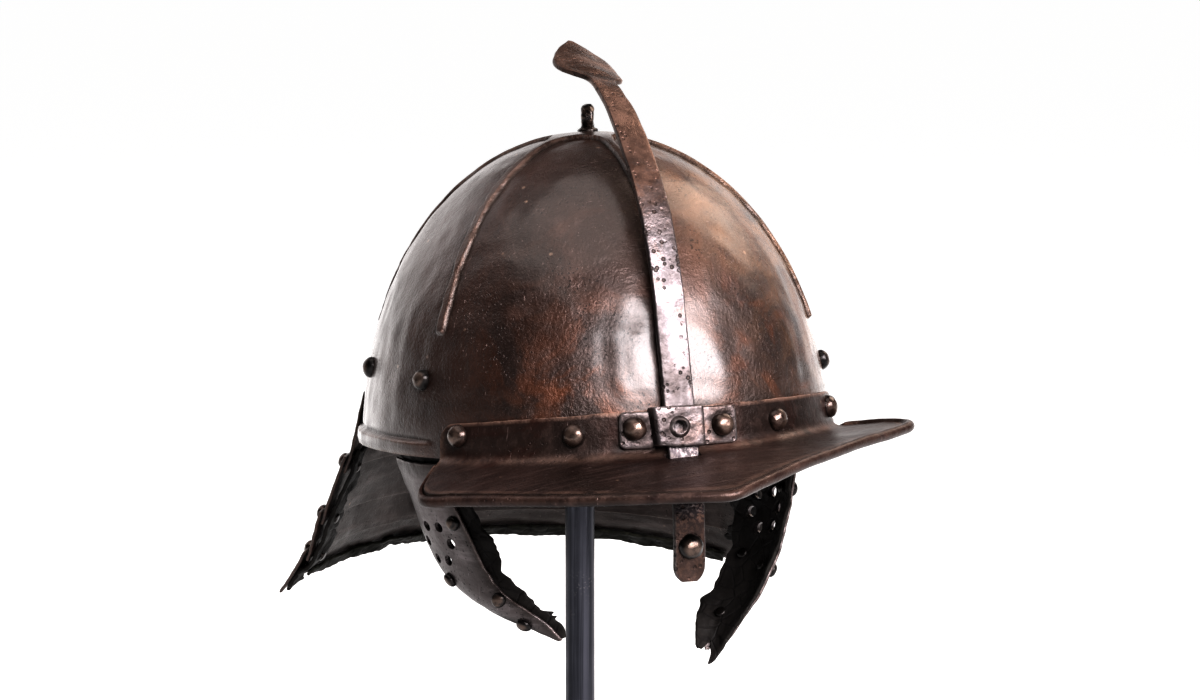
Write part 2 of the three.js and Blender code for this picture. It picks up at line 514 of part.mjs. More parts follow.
// point of a cheek's outer face: t along, c across from the rear edge
function cheekFace(rows, t, c) {
  const x = t * (rows.length - 1), k = Math.min(Math.floor(x), rows.length - 2);
  const [a0, b0] = rowPoints(rows[k]), [a1, b1] = rowPoints(rows[k + 1]);
  const rear = a0.clone().lerp(a1, x - k), front = b0.clone().lerp(b1, x - k);
  const p = rear.clone().lerp(front, c);
  const width = rear.distanceTo(front);
  const cup = Math.min(CHEEK.cup, width * 0.16) * 4 * c * (1 - c);
  const side = Math.sign(rows[0].rl);
  const down = new THREE.Vector3().subVectors(a1, a0).add(b1).sub(b0).normalize();
  const out = new THREE.Vector3().crossVectors(down, front.sub(rear)).normalize().multiplyScalar(-side);
  return { p: p.addScaledVector(out, cup), out };
}
function cheekNormal(rows, t, c) {
  const e = 0.02;
  const a = cheekFace(rows, t, c + e).p.sub(cheekFace(rows, t, c - e).p);
  const b = cheekFace(rows, Math.min(t + e, 1), c).p.sub(cheekFace(rows, Math.max(t - e, 0), c).p);
  const n = a.cross(b).normalize();
  return n.dot(cheekFace(rows, t, c).out) < 0 ? n.negate() : n;
}
function cheekGrid(rows, ts, across, { fromC, toC }, off) {
  return ts.map((t) => Array.from({ length: across + 1 }, (_, i) => {
    const { p, out } = cheekFace(rows, t, mix(fromC, toC, i / across));
    return p.addScaledVector(out, off);
  }));
}
const plateRings = (outer, inner) => outer.map((row, i) => [...row, ...inner[i].slice().reverse()]);

function cheekPlate(rows) {
  const ts = [0, 1 / 7, 2 / 7, 3 / 7, 4 / 7, 5 / 7, 6 / 7, 1];
  return skin(plateRings(cheekGrid(rows, ts, CHEEK.across, CHEEK, 0), cheekGrid(rows, ts, CHEEK.across, CHEEK, -CHEEK.thick)));
}
function cheekLining(rows) {
  const side = Math.sign(rows[0].rl), hand = side < 0 ? 'right' : 'left';
  const ts = [0, 1 / 7, 2 / 7, 3 / 7, 4 / 7, 5 / 7, 6 / 7, 1];
  const deep = CHEEK.thick + LINING.gap;
  const outer = cheekGrid(rows, ts, CHEEK.across, LINING, -deep);
  const inner = cheekGrid(rows, ts, CHEEK.across, LINING, -deep - LINING.thick);
  const hang = (off) => HANGER.map((h) => Array.from({ length: CHEEK.across + 1 }, (_, i) => {
    const k = i / CHEEK.across, plan = side * mix(h.rearPlan, h.frontPlan, k);
    return skullPoint(planAngle(plan), h.z, -SKULL.wall - off - mix(h.rearIn[hand], h.frontIn[hand], k));
  }));
  return skin(plateRings([...hang(INSIDE_CLEAR), ...outer], [...hang(INSIDE_CLEAR + LINING.thick), ...inner]));
}
function rosetteTools(rows, radius) {
  const { out } = cheekFace(rows, ROSETTE.t, ROSETTE.c);
  const c = cheekFace(rows, ROSETTE.t, ROSETTE.c).p;
  const u = cheekFace(rows, ROSETTE.t, 1).p.sub(cheekFace(rows, ROSETTE.t, 0).p).normalize();
  const v = new THREE.Vector3().crossVectors(out, u).normalize();
  return Array.from({ length: CHEEK.holes }, (_, i) => {
    const a = 2 * Math.PI * i / CHEEK.holes;
    const p = c.clone().addScaledVector(u, CHEEK.rosette * Math.cos(a)).addScaledVector(v, CHEEK.rosette * Math.sin(a));
    return along(hole(radius, 12), p, out);
  });
}

// --------------------------------------------------------------------- build
const peakRivets = PEAK_RIVETS.map((r) => skullRivet(r.name, r.planDeg, r.z));
const strapRivets = STRAP_RIVETS.map((r) => skullRivet(r.name, r.planDeg, r.z, STRAP_RIVET));
const bracketPlans = [-BRACKET.earRivet, BRACKET.earRivet].map((u) => {
  const p = skullPoint(flangeAngleAt(BAR.l + u), 13);
  return THREE.MathUtils.radToDeg(Math.atan2(p.x, -p.y));
});
const bracketRivets = bracketPlans.map((deg, i) => skullRivet(['bracket_rivet_right', 'bracket_rivet_left'][i], deg, 13));

const tailDrills = TAIL_RIVETS.map((r) => {
  const n = tailNormal(TAIL_RIVET_ROW, r.deg), p = tailPoint(TAIL_RIVET_ROW, r.deg, -TAIL.tuck * TAIL_RIVET_ROW / (1 + TAIL.lap));
  return { ...r, n, p, drill: along(hole(RIVET.shank + GAP, 14), p, n) };
});
const crownDrill = hole(LOOP.shank + GAP, 20).translate(0, 0, SKULL.height - SKULL.sunk);

piece('skull', cut(skullGeometry(), [...skullHoles, ...tailDrills.map((d) => d.drill), crownDrill]), IRON());
piece('crown_loop', loopGeometry(), RIVET_IRON());
piece('peak', cut(peakGeometry(), [slotTool(), ...peakRivets.map((r) => r.drill), ...bracketRivets.map((r) => r.drill)]), IRON_WARM());
peakRivets.forEach((r) => r.place(flangeOut, INSIDE_CLEAR));
piece('nasal_bracket', cut(bracketGeometry(), bracketRivets.map((r) => r.drill)), STEEL_WORN());
bracketRivets.forEach((r) => r.place(flangeOut + BRACKET.profile[0].outer, INSIDE_CLEAR));
strapRivets.forEach((r) => r.place(0, INSIDE_CLEAR + LINING.thick + 0.3));

piece('nasal_bar', cut(barGeometry(), [along(hole(stopForm.shank + GAP, 10), stopFace, stopOut)]), STEEL_WORN());
piece('nasal_stop', along(rivet(stopForm, BAR.thick), stopFace, stopOut), RIVET_IRON());

const lameRivets = [];
for (const side of [-1, 1]) {
  for (let k = 1; k <= 3; k++) {
    const s = k + TAIL.lap / 2, deg = side * (tailRow(s).endDeg - LAME_RIVET.inset);
    const n = tailNormal(s, deg), p = tailPoint(s, deg, -TAIL.tuck * (TAIL.lap / 2) / (1 + TAIL.lap));
    lameRivets.push({ name: `lame_rivet_${side < 0 ? 'right' : 'left'}_${k}`, n, p, drill: along(hole(LAME_RIVET.shank + GAP, 9), p, n) });
  }
}
const tailTools = [...tailDrills.map((d) => d.drill), ...lameRivets.map((d) => d.drill)];
LAMES.forEach((lame, i) => piece(lame.name, cut(lameGeometry(lame, i === LAMES.length - 1), tailTools), IRON()));
tailDrills.forEach((d) => piece(d.name, along(rivet(RIVET, TAIL.thick + 3.6 + SKULL.wall + INSIDE_CLEAR), d.p.addScaledVector(d.n, 0.2), d.n), RIVET_IRON()));
lameRivets.forEach((d) => piece(d.name, along(rivet(LAME_RIVET, TAIL_LEATHER.deep + TAIL_LEATHER.thick), d.p, d.n), RIVET_IRON()));
for (const side of [-1, 1]) {
  const degs = [TAIL_LEATHER.nearDeg, (TAIL_LEATHER.nearDeg + TAIL_LEATHER.farDeg) / 2, TAIL_LEATHER.farDeg].map((d) => (s) => side * (tailRow(s).endDeg - d));
  const strip = stripGeometry(TAIL_LEATHER.fromRow, TAIL_LEATHER.toRow, 8, degs, TAIL_LEATHER.deep, TAIL_LEATHER.thick);
  piece(`tail_leather_${side < 0 ? 'right' : 'left'}`, cut(strip, lameRivets.map((d) => d.drill)), LEATHER());
}
{
  const n = EDGE_LEATHER.columns;
  const degs = Array.from({ length: n }, (_, i) => (s) => (-1 + 2 * i / (n - 1)) * (tailRow(s).endDeg - EDGE_LEATHER.endDeg));
  piece('tail_edge_leather', stripGeometry(EDGE_LEATHER.fromRow, EDGE_LEATHER.toRow, 2, degs, EDGE_LEATHER.deep, EDGE_LEATHER.thick), LEATHER());
}

for (const [side, rows, straps] of [['right', CHEEK_RIGHT, strapRivets.slice(0, 2)], ['left', CHEEK_LEFT, strapRivets.slice(2)]]) {
  const rivets = CHEEK_RIVETS.map((r) => {
    const { p } = cheekFace(rows, r.t, r.c), out = cheekNormal(rows, r.t, r.c);
    return { name: `cheek_rivet_${side}_${r.tag}`, p, out, drill: along(hole(CHEEK_RIVET.shank + GAP, 7), p, out) };
  });
  const drills = rivets.map((r) => r.drill);
  piece(`cheek_${side}`, cut(cheekPlate(rows), [...drills, ...rosetteTools(rows, CHEEK.holeRadius)]), IRON());
  piece(`cheek_lining_${side}`, cut(cheekLining(rows), [...drills, ...straps.map((r) => r.drill), ...rosetteTools(rows, LINING.holeRadius)]), LEATHER());
  rivets.forEach((r) => piece(r.name, along(rivet(CHEEK_RIVET, CHEEK.thick + LINING.gap + LINING.thick + 1.3), r.p.addScaledVector(r.out, 0.25), r.out), RIVET_IRON()));
}

// --------------------------------------------------------------------- stand
const knobTop = (() => {
  // highest place of the knob's round head that stays clear of the skull
  const tilt = rad(PITCH_DEG);
  let best = Infinity;
  for (let i = 0; i <= 24; i++) {
    for (let j = 0; j < 24; j++) {
      const polar = rad(75) * i / 24, turn = 2 * Math.PI * j / 24;
      const x = KNOB.radius * Math.sin(polar) * Math.cos(turn), y = KNOB.radius * Math.sin(polar) * Math.sin(turn);
      const drop = KNOB.radius * (1 - Math.cos(polar));
      const l = x, f = -(y + POLE_BACK);
      let low = 60, high = 135;
      for (let n = 0; n < 40; n++) {
        const z = (low + high) / 2;
        const lf = f * Math.cos(tilt) + z * Math.sin(tilt), lz = z * Math.cos(tilt) - f * Math.sin(tilt);
        const h = Math.max(lz + SKULL.sunk, 0) / (SKULL.height - SKULL.wall);
        const r = Math.hypot(l / (SKULL.halfWidth - SKULL.wall), lf / (SKULL.halfLength - SKULL.wall));
        if (r ** SKULL.power + h ** SKULL.power < 1) low = z; else high = z;
      }
      best = Math.min(best, low + drop);
    }
  }
  return RIM_HEIGHT + best - 1.8;
})();
const neck = knobTop - KNOB.depth;
const dome = Array.from({ length: 7 }, (_, i) => {
  const a = rad(90) * i / 6;
  return [KNOB.radius * Math.cos(a), knobTop - KNOB.radius + KNOB.radius * Math.sin(a)];
});
dome[dome.length - 1][0] = 0;
piece('stand_knob', turned([[0, neck], [KNOB.radius - 3, neck], [KNOB.radius, neck + 3], ...dome], KNOB.sides), STAND_STEEL(), stand);
piece('stand_pole', turned([[0, BASE.thick + GAP], [POLE.radius, BASE.thick + GAP], [POLE.radius, neck - GAP], [0, neck - GAP]], POLE.sides), STAND_STEEL(), stand);
piece('stand_base', turned([[0, 0], [BASE.radius - 0.8, 0], [BASE.radius, 0.8], [BASE.radius, BASE.thick - BASE.edge], [BASE.radius - BASE.edge, BASE.thick], [0, BASE.thick]], BASE.sides), STAND_STEEL(), stand);

const root = new THREE.Group();
root.add(helmet, stand);

export default root;
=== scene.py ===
import math

import bmesh
import bpy
import numpy as np
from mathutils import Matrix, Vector

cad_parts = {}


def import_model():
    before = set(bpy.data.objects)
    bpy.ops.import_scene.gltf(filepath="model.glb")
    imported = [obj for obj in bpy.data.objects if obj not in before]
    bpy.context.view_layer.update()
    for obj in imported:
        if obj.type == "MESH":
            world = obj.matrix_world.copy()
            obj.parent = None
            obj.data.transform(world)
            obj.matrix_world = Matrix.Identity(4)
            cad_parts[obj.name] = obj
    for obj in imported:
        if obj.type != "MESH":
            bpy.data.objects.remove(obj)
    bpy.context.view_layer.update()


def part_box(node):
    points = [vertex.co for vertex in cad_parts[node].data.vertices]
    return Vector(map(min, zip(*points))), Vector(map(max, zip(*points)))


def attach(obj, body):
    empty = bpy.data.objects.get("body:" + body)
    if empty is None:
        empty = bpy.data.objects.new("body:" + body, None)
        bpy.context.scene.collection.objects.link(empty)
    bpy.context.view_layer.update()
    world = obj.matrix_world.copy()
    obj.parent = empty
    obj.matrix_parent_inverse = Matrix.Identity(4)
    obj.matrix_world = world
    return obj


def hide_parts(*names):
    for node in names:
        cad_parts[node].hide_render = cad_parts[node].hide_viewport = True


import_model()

rad = math.radians

# ------------------------------------------------------------------ placement
# The helmet's own frame is in millimetres: x to the wearer's left, y to the
# back, z up from the rim. world() tilts it on its pole, in metres.
C4, S4 = math.cos(rad(4)), math.sin(rad(4))


def world(p):
    p = np.asarray(p, float)
    x, y, z = p[..., 0], p[..., 1], p[..., 2]
    return np.stack([x, -20.15 + y * C4 + z * S4, 175 - y * S4 + z * C4], -1) / 1000


def at(l, f, z):
    l, f, z = np.broadcast_arrays(np.asarray(l, float), np.asarray(f, float), np.asarray(z, float))
    return np.stack([l, -f, z], -1)


def unit(v):
    return v / np.maximum(np.linalg.norm(v, axis=-1, keepdims=True), 1e-12)


def sm(x, a, b):
    t = np.clip((np.asarray(x, float) - a) / (b - a), 0, 1)
    return t * t * (3 - 2 * t)


def mix(a, b, t):
    return a + (b - a) * t


def waves(p, length, seed, n=16, stretch=(1, 1, 1)):
    """Smooth noise of about unit size with features of that length in millimetres."""
    g = np.random.default_rng(seed)
    d = unit(g.normal(size=(n, 3)))
    k = 2 * np.pi / (length * g.uniform(0.7, 1.5, n))
    phase = g.uniform(0, 2 * np.pi, n)
    q = (np.asarray(p, float) / np.array(stretch)) @ (d * k[:, None]).T + phase
    return np.sin(q).sum(-1) * math.sqrt(2 / n)


def ragged(x, seed):
    """Torn edge: noise of about unit size along a length in millimetres."""
    g = np.random.default_rng(seed)
    out = np.zeros_like(np.asarray(x, float))
    for length, size, n in ((26, 0.6, 5), (9, 0.33, 6), (3.4, 0.08, 7), (1.6, 0.03, 7)):
        for _ in range(n):
            out += size / math.sqrt(n) * np.sin(2 * np.pi * x / (length * g.uniform(0.7, 1.4)) + g.uniform(0, 6.28))
    return out


def smooth_rows(a, sigma):
    """Gaussian smoothing along the first axis that keeps the ends."""
    r = int(3 * sigma) + 1
    k = np.exp(-0.5 * (np.arange(-r, r + 1) / sigma) ** 2)
    k /= k.sum()
    a = np.asarray(a, float)
    lead = 2 * a[0] - a[1:r + 1][::-1]
    tail = 2 * a[-1] - a[-r - 1:-1][::-1]
    b = np.concatenate([lead, a, tail])
    return np.stack([np.convolve(b[:, i], k, "valid") for i in range(a.shape[1])], -1)


def net(control, u, v):
    """Smooth surface through a grid of control points, at grids u and v from 0 to 1; a little past the ends it runs on straight."""
    R, C = control.shape[:2]

    def weights(t, n):
        x = t * (n - 1)
        k = np.clip(np.floor(x).astype(int), 0, n - 2)
        f = x - k
        lin = (f < 0) | (f > 1)
        w = np.stack([-0.5 * f + f**2 - 0.5 * f**3, 1 - 2.5 * f**2 + 1.5 * f**3, 0.5 * f + 2 * f**2 - 1.5 * f**3, -0.5 * f**2 + 0.5 * f**3], -1)
        straight = np.stack([0 * f, 1 - f, f, 0 * f], -1)
        w = np.where(lin[..., None], straight, w)
        ix = np.stack([k - 1, k, k + 1, k + 2], -1)
        # a point past the end continues the last step
        out = [(np.clip(ix[..., j], 0, n - 1), w[..., j]) for j in range(4)]
        low, high = ix[..., 0] < 0, ix[..., 3] > n - 1
        extra = []
        extra.append((np.zeros_like(k), np.where(low, w[..., 0], 0)))
        extra.append((np.ones_like(k), np.where(low, -w[..., 0], 0)))
        extra.append((np.full_like(k, n - 1), np.where(high, w[..., 3], 0)))
        extra.append((np.full_like(k, n - 2), np.where(high, -w[..., 3], 0)))
        return out + extra

    p = 0
    wv = weights(v, C)
    for i, a in weights(u, R):
        for j, b in wv:
            p = p + control[i, j] * (a * b)[..., None]
    return p


# --------------------------------------------------------------------- meshes
made = []


def grid_faces(rows, cols, wrap=False, base=0):
    r, c = np.meshgrid(np.arange(rows - 1), np.arange(cols if wrap else cols - 1), indexing="ij")
    n = (c + 1) % cols
    return (np.stack([r * cols + c, r * cols + n, (r + 1) * cols + n, (r + 1) * cols + c], -1).reshape(-1, 4) + base).tolist()


def piece(name, verts, faces, look, nodes=(), body="helmet", attrs=None, sharp=50, weld=True):
    """A mesh from points in the helmet's frame, that rides on a body and stands for CAD nodes."""
    me = bpy.data.meshes.new(name)
    me.from_pydata(world(verts).tolist() if verts is not None else [], [], faces)
    for key, value in (attrs or {}).items():
        a = me.attributes.new(key, "FLOAT", "POINT")
        a.data.foreach_set("value", np.asarray(value, np.float32).ravel())
    return finish_piece(name, me, look, nodes, body, sharp, weld)


def finish_piece(name, me, look, nodes, body, sharp, weld=True):
    bm = bmesh.new()
    bm.from_mesh(me)
    if weld:
        bmesh.ops.remove_doubles(bm, verts=bm.verts, dist=2e-6)
        bmesh.ops.dissolve_degenerate(bm, edges=bm.edges, dist=1e-7)
    bmesh.ops.recalc_face_normals(bm, faces=bm.faces)
    bm.to_mesh(me)
    bm.free()
    me.polygons.foreach_set("use_smooth", np.ones(len(me.polygons), bool))
    me.set_sharp_from_angle(angle=rad(sharp))
    o = bpy.data.objects.new(name, me)
    bpy.context.scene.collection.objects.link(o)
    me.materials.append(look)
    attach(o, body)
    if nodes:
        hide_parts(*nodes)
    made.append(o)
    return o


def steps(n, length, rb):
    """Parameters from 0 to 1 with closer ones near both ends, for a rounded edge."""
    e = np.array([0, 0.1, 0.32, 0.65, 1.15]) * rb / length
    return np.concatenate([e, np.linspace(e[-1] * 1.7, 1 - e[-1] * 1.7, n), 1 - e[::-1]])


def grid_normals(p):
    du, dv = np.gradient(p, axis=0), np.gradient(p, axis=1)
    return unit(np.cross(du, dv))


def pillow(mid, dist, half, rough=None):
    """Two faces of a plate round a middle surface that meet in a rounded edge. dist is the way to the edge in millimetres."""
    n = grid_normals(mid)
    t = np.clip(dist / half, 0, 1)
    h = (half * np.sqrt(np.maximum(1 - (1 - t) ** 2, 0)))[..., None]
    extra = 0 if rough is None else rough[..., None]
    a, b = mid + n * (h + extra * np.minimum(h / half, 1)), mid - n * (h - extra * np.minimum(h / half, 1))
    R, C = mid.shape[:2]
    verts = np.concatenate([a.reshape(-1, 3), b.reshape(-1, 3)])
    faces = grid_faces(R, C) + grid_faces(R, C, base=R * C)
    return verts, faces


def edge_distance(U, V, lu, lv):
    return np.minimum(np.minimum(U, 1 - U) * lu, np.minimum(V, 1 - V) * lv)


def lathe(profile, sides):
    """Closed turned mesh along +z from a profile that starts and ends on the axis."""
    profile = np.asarray(profile, float)
    a = np.arange(sides) * 2 * np.pi / sides
    ring = profile[1:-1]
    v = np.stack([ring[:, None, 0] * np.cos(a), ring[:, None, 0] * np.sin(a), np.repeat(ring[:, None, 1], sides, 1)], -1).reshape(-1, 3)
    faces = grid_faces(len(ring), sides, wrap=True)
    low, high = len(v), len(v) + 1
    v = np.concatenate([v, [[0, 0, profile[0, 1]], [0, 0, profile[-1, 1]]]])
    last = (len(ring) - 1) * sides
    faces += [[(i + 1) % sides, i, low] for i in range(sides)] + [[last + i, last + (i + 1) % sides, high] for i in range(sides)]
    return v, faces


def along(v, point, direction):
    d = unit(np.asarray(direction, float))
    ref = np.array([0, 0, 1.0]) if abs(d[2]) < 0.9 else np.array([1.0, 0, 0])
    x = unit(np.cross(ref, d))
    y = np.cross(d, x)
    return v[:, :1] * x + v[:, 1:2] * y + v[:, 2:] * d + np.asarray(point)


def cut(o, tools):
    """Cuts closed meshes, given in the helmet's frame, out of a piece."""
    for verts, faces in tools:
        me = bpy.data.meshes.new("tool")
        me.from_pydata(world(verts).tolist(), [], faces)
        bm = bmesh.new()
        bm.from_mesh(me)
        bmesh.ops.recalc_face_normals(bm, faces=bm.faces)
        bm.to_mesh(me)
        bm.free()
        t = bpy.data.objects.new("tool", me)
        bpy.context.scene.collection.objects.link(t)
        m = o.modifiers.new("cut", "BOOLEAN")
        m.operation, m.solver, m.object = "DIFFERENCE", "EXACT", t
        bpy.context.view_layer.update()
        result = bpy.data.meshes.new_from_object(o.evaluated_get(bpy.context.evaluated_depsgraph_get()))
        o.modifiers.remove(m)
        bpy.data.objects.remove(t)
        o.data = result
    o.data.polygons.foreach_set("use_smooth", np.ones(len(o.data.polygons), bool))
    o.data.set_sharp_from_angle(angle=rad(38))


def tube(rings):
    R, C = rings.shape[:2]
    v = rings.reshape(-1, 3)
    faces = grid_faces(R, C, wrap=True)
    faces += [list(range(C))[::-1], [(R - 1) * C + i for i in range(C)]]
    return v, faces


# ------------------------------------------------------------------ materials
class Look:
    """Small helper that wires up a procedural material."""

    def __init__(self, name):
        self.m = bpy.data.materials.new(name)
        self.m.use_nodes = True
        self.t = self.m.node_tree
        self.t.nodes.clear()
        self.out = self.t.nodes.new("ShaderNodeOutputMaterial")
        self.b = self.t.nodes.new("ShaderNodeBsdfPrincipled")
        self.t.links.new(self.b.outputs[0], self.out.inputs[0])
        self.coord = self.t.nodes.new("ShaderNodeTexCoord").outputs["Object"]

    def link(self, a, b):
        self.t.links.new(a, b)

    def put(self, socket, value):
        if hasattr(value, "is_output"):
            self.link(value, socket)
        elif isinstance(value, (tuple, list)) and len(value) == 3 and len(socket.default_value) == 4:
            socket.default_value = (*value, 1)
        else:
            socket.default_value = value

    def mapped(self, scale, rotation=(0, 0, 0)):
        n = self.t.nodes.new("ShaderNodeMapping")
        self.link(self.coord, n.inputs["Vector"])
        n.inputs["Scale"].default_value = scale
        n.inputs["Rotation"].default_value = [rad(r) for r in rotation]
        return n.outputs[0]

    def noise(self, scale, detail=4, rough=0.55, warp=0.0, vector=None):
        n = self.t.nodes.new("ShaderNodeTexNoise")
        self.link(vector or self.coord, n.inputs["Vector"])
        n.inputs["Scale"].default_value = scale
        n.inputs["Detail"].default_value = detail
        n.inputs["Roughness"].default_value = rough
        n.inputs["Distortion"].default_value = warp
        return n.outputs["Fac"]

    def cells(self, scale, feature="F1", vector=None, random=1.0):
        n = self.t.nodes.new("ShaderNodeTexVoronoi")
        n.feature = feature
        self.link(vector or self.coord, n.inputs["Vector"])
        n.inputs["Scale"].default_value = scale
        n.inputs["Randomness"].default_value = random
        return n.outputs["Distance"]

    def span(self, x, a, b, lo=0.0, hi=1.0):
        n = self.t.nodes.new("ShaderNodeMapRange")
        n.interpolation_type = "SMOOTHSTEP"
        self.put(n.inputs["Value"], x)
        n.inputs["From Min"].default_value, n.inputs["From Max"].default_value = a, b
        n.inputs["To Min"].default_value, n.inputs["To Max"].default_value = lo, hi
        return n.outputs["Result"]

    def math(self, op, a, b=0.0, clamp=False):
        n = self.t.nodes.new("ShaderNodeMath")
        n.operation, n.use_clamp = op, clamp
        self.put(n.inputs[0], a)
        self.put(n.inputs[1], b)
        return n.outputs[0]

    def attr(self, name):
        n = self.t.nodes.new("ShaderNodeAttribute")
        n.attribute_name = name
        return n.outputs["Fac"]

    def colour(self, f, a, b):
        n = self.t.nodes.new("ShaderNodeMix")
        n.data_type = "RGBA"
        self.put(n.inputs["Factor"], f)
        self.put(n.inputs[6], a)
        self.put(n.inputs[7], b)
        return n.outputs[2]

    def bump(self, height, strength, distance, before=None):
        n = self.t.nodes.new("ShaderNodeBump")
        n.inputs["Strength"].default_value = strength
        n.inputs["Distance"].default_value = distance
        self.link(height, n.inputs["Height"])
        if before:
            self.link(before, n.inputs["Normal"])
        return n.outputs[0]

    def done(self, colour, rough, normal, metallic=0.0, coat=0.0, coat_rough=0.2, specular=0.5):
        self.put(self.b.inputs["Base Color"], colour)
        self.put(self.b.inputs["Roughness"], rough)
        self.put(self.b.inputs["Metallic"], metallic)
        self.b.inputs["Coat Weight"].default_value = coat
        self.b.inputs["Coat Roughness"].default_value = coat_rough
        self.b.inputs["Specular IOR Level"].default_value = specular
        if normal:
            self.link(normal, self.b.inputs["Normal"])
        return self.m


def iron(name, dark, mid, light, rust_and_sheen, rust_and_sheen_amount=0.5, metallic=0.7, rough=(0.3, 0.5), coat=0.3, streak=None, grain=0.0008, specular=0.5):
    """Old iron under a brown patina: blotches, reddish oxide, scratches, pits and worn edges. The rust_and_sheen colour
    also paints a warm sheen on the skull's right side, and dirt_and_shade paints shade dark in creases, under and
    inside things, with some real soiling.
    """
    k = Look(name)
    big = k.noise(16, 5, 0.55, 0.4)
    small = k.noise(70, 6, 0.6, 0.3)
    c = k.colour(k.span(big, 0.3, 0.68), dark, mid)
    c = k.colour(k.span(small, 0.52, 0.8, 0, 0.55), c, light)
    # rust_and_sheen colour where the warm mask falls: reddish oxide, and on the skull's right side and upper right a
    # painted warm sheen
    warm = k.math("MULTIPLY", k.span(k.noise(34, 7, 0.62, 0.8), 0.46, 0.64), k.math("MULTIPLY", k.attr("warm"), rust_and_sheen_amount), True)
    c = k.colour(warm, c, rust_and_sheen)
    # tan: a painted warm brown reflection, used on the skull's right side
    c = k.colour(k.math("MULTIPLY", k.attr("tan"), k.span(k.noise(48, 6, 0.6, 0.5), 0.36, 0.66), True), c, (0.13, 0.068, 0.037))
    if streak:
        lines = k.noise(1.0, 4, 0.6, 0.15, k.mapped(streak))
        c = k.colour(k.span(lines, 0.48, 0.72, 0, 0.5), c, light)
        c = k.colour(k.span(lines, 0.48, 0.28, 0, 0.45), c, dark)
    # fine scratches in two directions and short bright nicks
    s1 = k.noise(1.0, 2, 0.5, 0.0, k.mapped((900, 900, 30), (35, 20, 0)))
    s2 = k.noise(1.0, 2, 0.5, 0.0, k.mapped((40, 1100, 1100), (0, 30, 40)))
    scratch = k.math("MAXIMUM", k.span(s1, 0.69, 0.77), k.span(s2, 0.7, 0.78))
    nick = k.span(k.cells(95), 0.1, 0.05)
    keep = k.span(k.noise(26, 3), 0.5, 0.62)
    c = k.colour(k.math("MULTIPLY", scratch, 0.35), c, tuple(min(1, 2.4 * x + 0.05) for x in light))
    c = k.colour(k.math("MULTIPLY", nick, k.math("MULTIPLY", keep, 0.5)), c, (0.42, 0.28, 0.2))
    pit = k.math("MULTIPLY", k.span(k.cells(520), 0.26, 0.12), k.span(k.noise(40, 4), 0.5, 0.64))
    c = k.colour(k.math("MULTIPLY", pit, 0.75), c, tuple(0.35 * x for x in dark))
    # dirt_and_shade: painted shade, near-black in creases, under and inside things, with some real soiling
    c = k.colour(k.math("MULTIPLY", k.attr("dirt_and_shade"), 0.85, True), c, (0.012, 0.008, 0.006))
    worn = k.math("MULTIPLY", k.attr("wear"), k.span(k.noise(120, 5, 0.65), 0.34, 0.56), True)
    c = k.colour(k.math("MULTIPLY", worn, 0.75), c, (0.2, 0.125, 0.095))
    r = k.span(k.noise(55, 6, 0.6), 0.3, 0.7, rough[0], rough[1])
    r = k.math("ADD", r, k.math("MULTIPLY", pit, 0.25))
    h = k.math("ADD", k.math("MULTIPLY", k.noise(150, 6, 0.66), 0.7), k.math("MULTIPLY", k.noise(700, 4, 0.6), 0.3))
    h = k.math("SUBTRACT", h, k.math("MULTIPLY", k.span(k.cells(210, "DISTANCE_TO_EDGE", k.mapped((1, 1, 0.45), (12, 8, 0))), 0.05, 0.0), 0.03))
    h = k.math("SUBTRACT", h, k.math("MULTIPLY", pit, 0.55))
    h = k.math("SUBTRACT", h, k.math("MULTIPLY", scratch, 0.2))
    k.done(c, r, k.bump(h, 0.75, grain), metallic, coat, 0.25, specular)
    # the coat is taken off where dirt_and_shade paints shade, and where wear is
    k.link(k.math("MULTIPLY", k.math("SUBTRACT", 1.0, k.math("ADD", k.attr("dirt_and_shade"), k.math("MULTIPLY", k.attr("wear"), 0.6)), True), coat, True), k.b.inputs["Coat Weight"])
    return k.m


def worn_steel(name):
    """Rubbed iron: silver-grey with brown hollows and black pits; brown where patina is 1, speckled where spots is 1."""
    k = Look(name)
    base = k.colour(k.span(k.noise(60, 6, 0.6, 0.3), 0.32, 0.66), (0.034, 0.027, 0.026), (0.145, 0.13, 0.134))
    brown = k.colour(k.span(k.noise(80, 6, 0.6), 0.3, 0.7), (0.055, 0.031, 0.023), (0.17, 0.104, 0.08))
    c = k.colour(k.math("ADD", k.attr("patina"), k.span(k.noise(60, 6, 0.68, 0.6), 0.5, 0.66, 0, 0.5), True), base, brown)
    spot = k.math("MULTIPLY", k.span(k.noise(700, 3, 0.65), 0.44, 0.52), k.attr("spots"))
    c = k.colour(k.math("MULTIPLY", spot, 0.9), c, (0.02, 0.016, 0.018))
    pit = k.math("MULTIPLY", k.span(k.cells(330), 0.34, 0.14), k.span(k.noise(85, 4), 0.42, 0.58))
    c = k.colour(k.math("MULTIPLY", pit, 0.85), c, (0.045, 0.03, 0.026))
    # dirt_and_shade: painted shade on the bar's back and left side faces, under the leaf, low on the bar and on the
    # bracket's risers, with some real soiling
    c = k.colour(k.math("MULTIPLY", k.attr("dirt_and_shade"), 0.9, True), c, (0.014, 0.01, 0.009))
    c = k.colour(k.math("MULTIPLY", k.attr("wear"), k.span(k.noise(140, 4), 0.35, 0.6), True), c, (0.2, 0.178, 0.175))
    r = k.math("ADD", k.span(k.noise(90, 5), 0.3, 0.7, 0.34, 0.52), k.math("MULTIPLY", pit, 0.2))
    h = k.math("SUBTRACT", k.math("ADD", k.math("MULTIPLY", k.noise(130, 6, 0.62), 0.8), k.math("MULTIPLY", k.noise(700, 3), 0.2)), k.math("MULTIPLY", pit, 0.9))
    return k.done(c, r, k.bump(h, 0.75, 0.001), 0.85, 0.05, 0.25, 0.3)


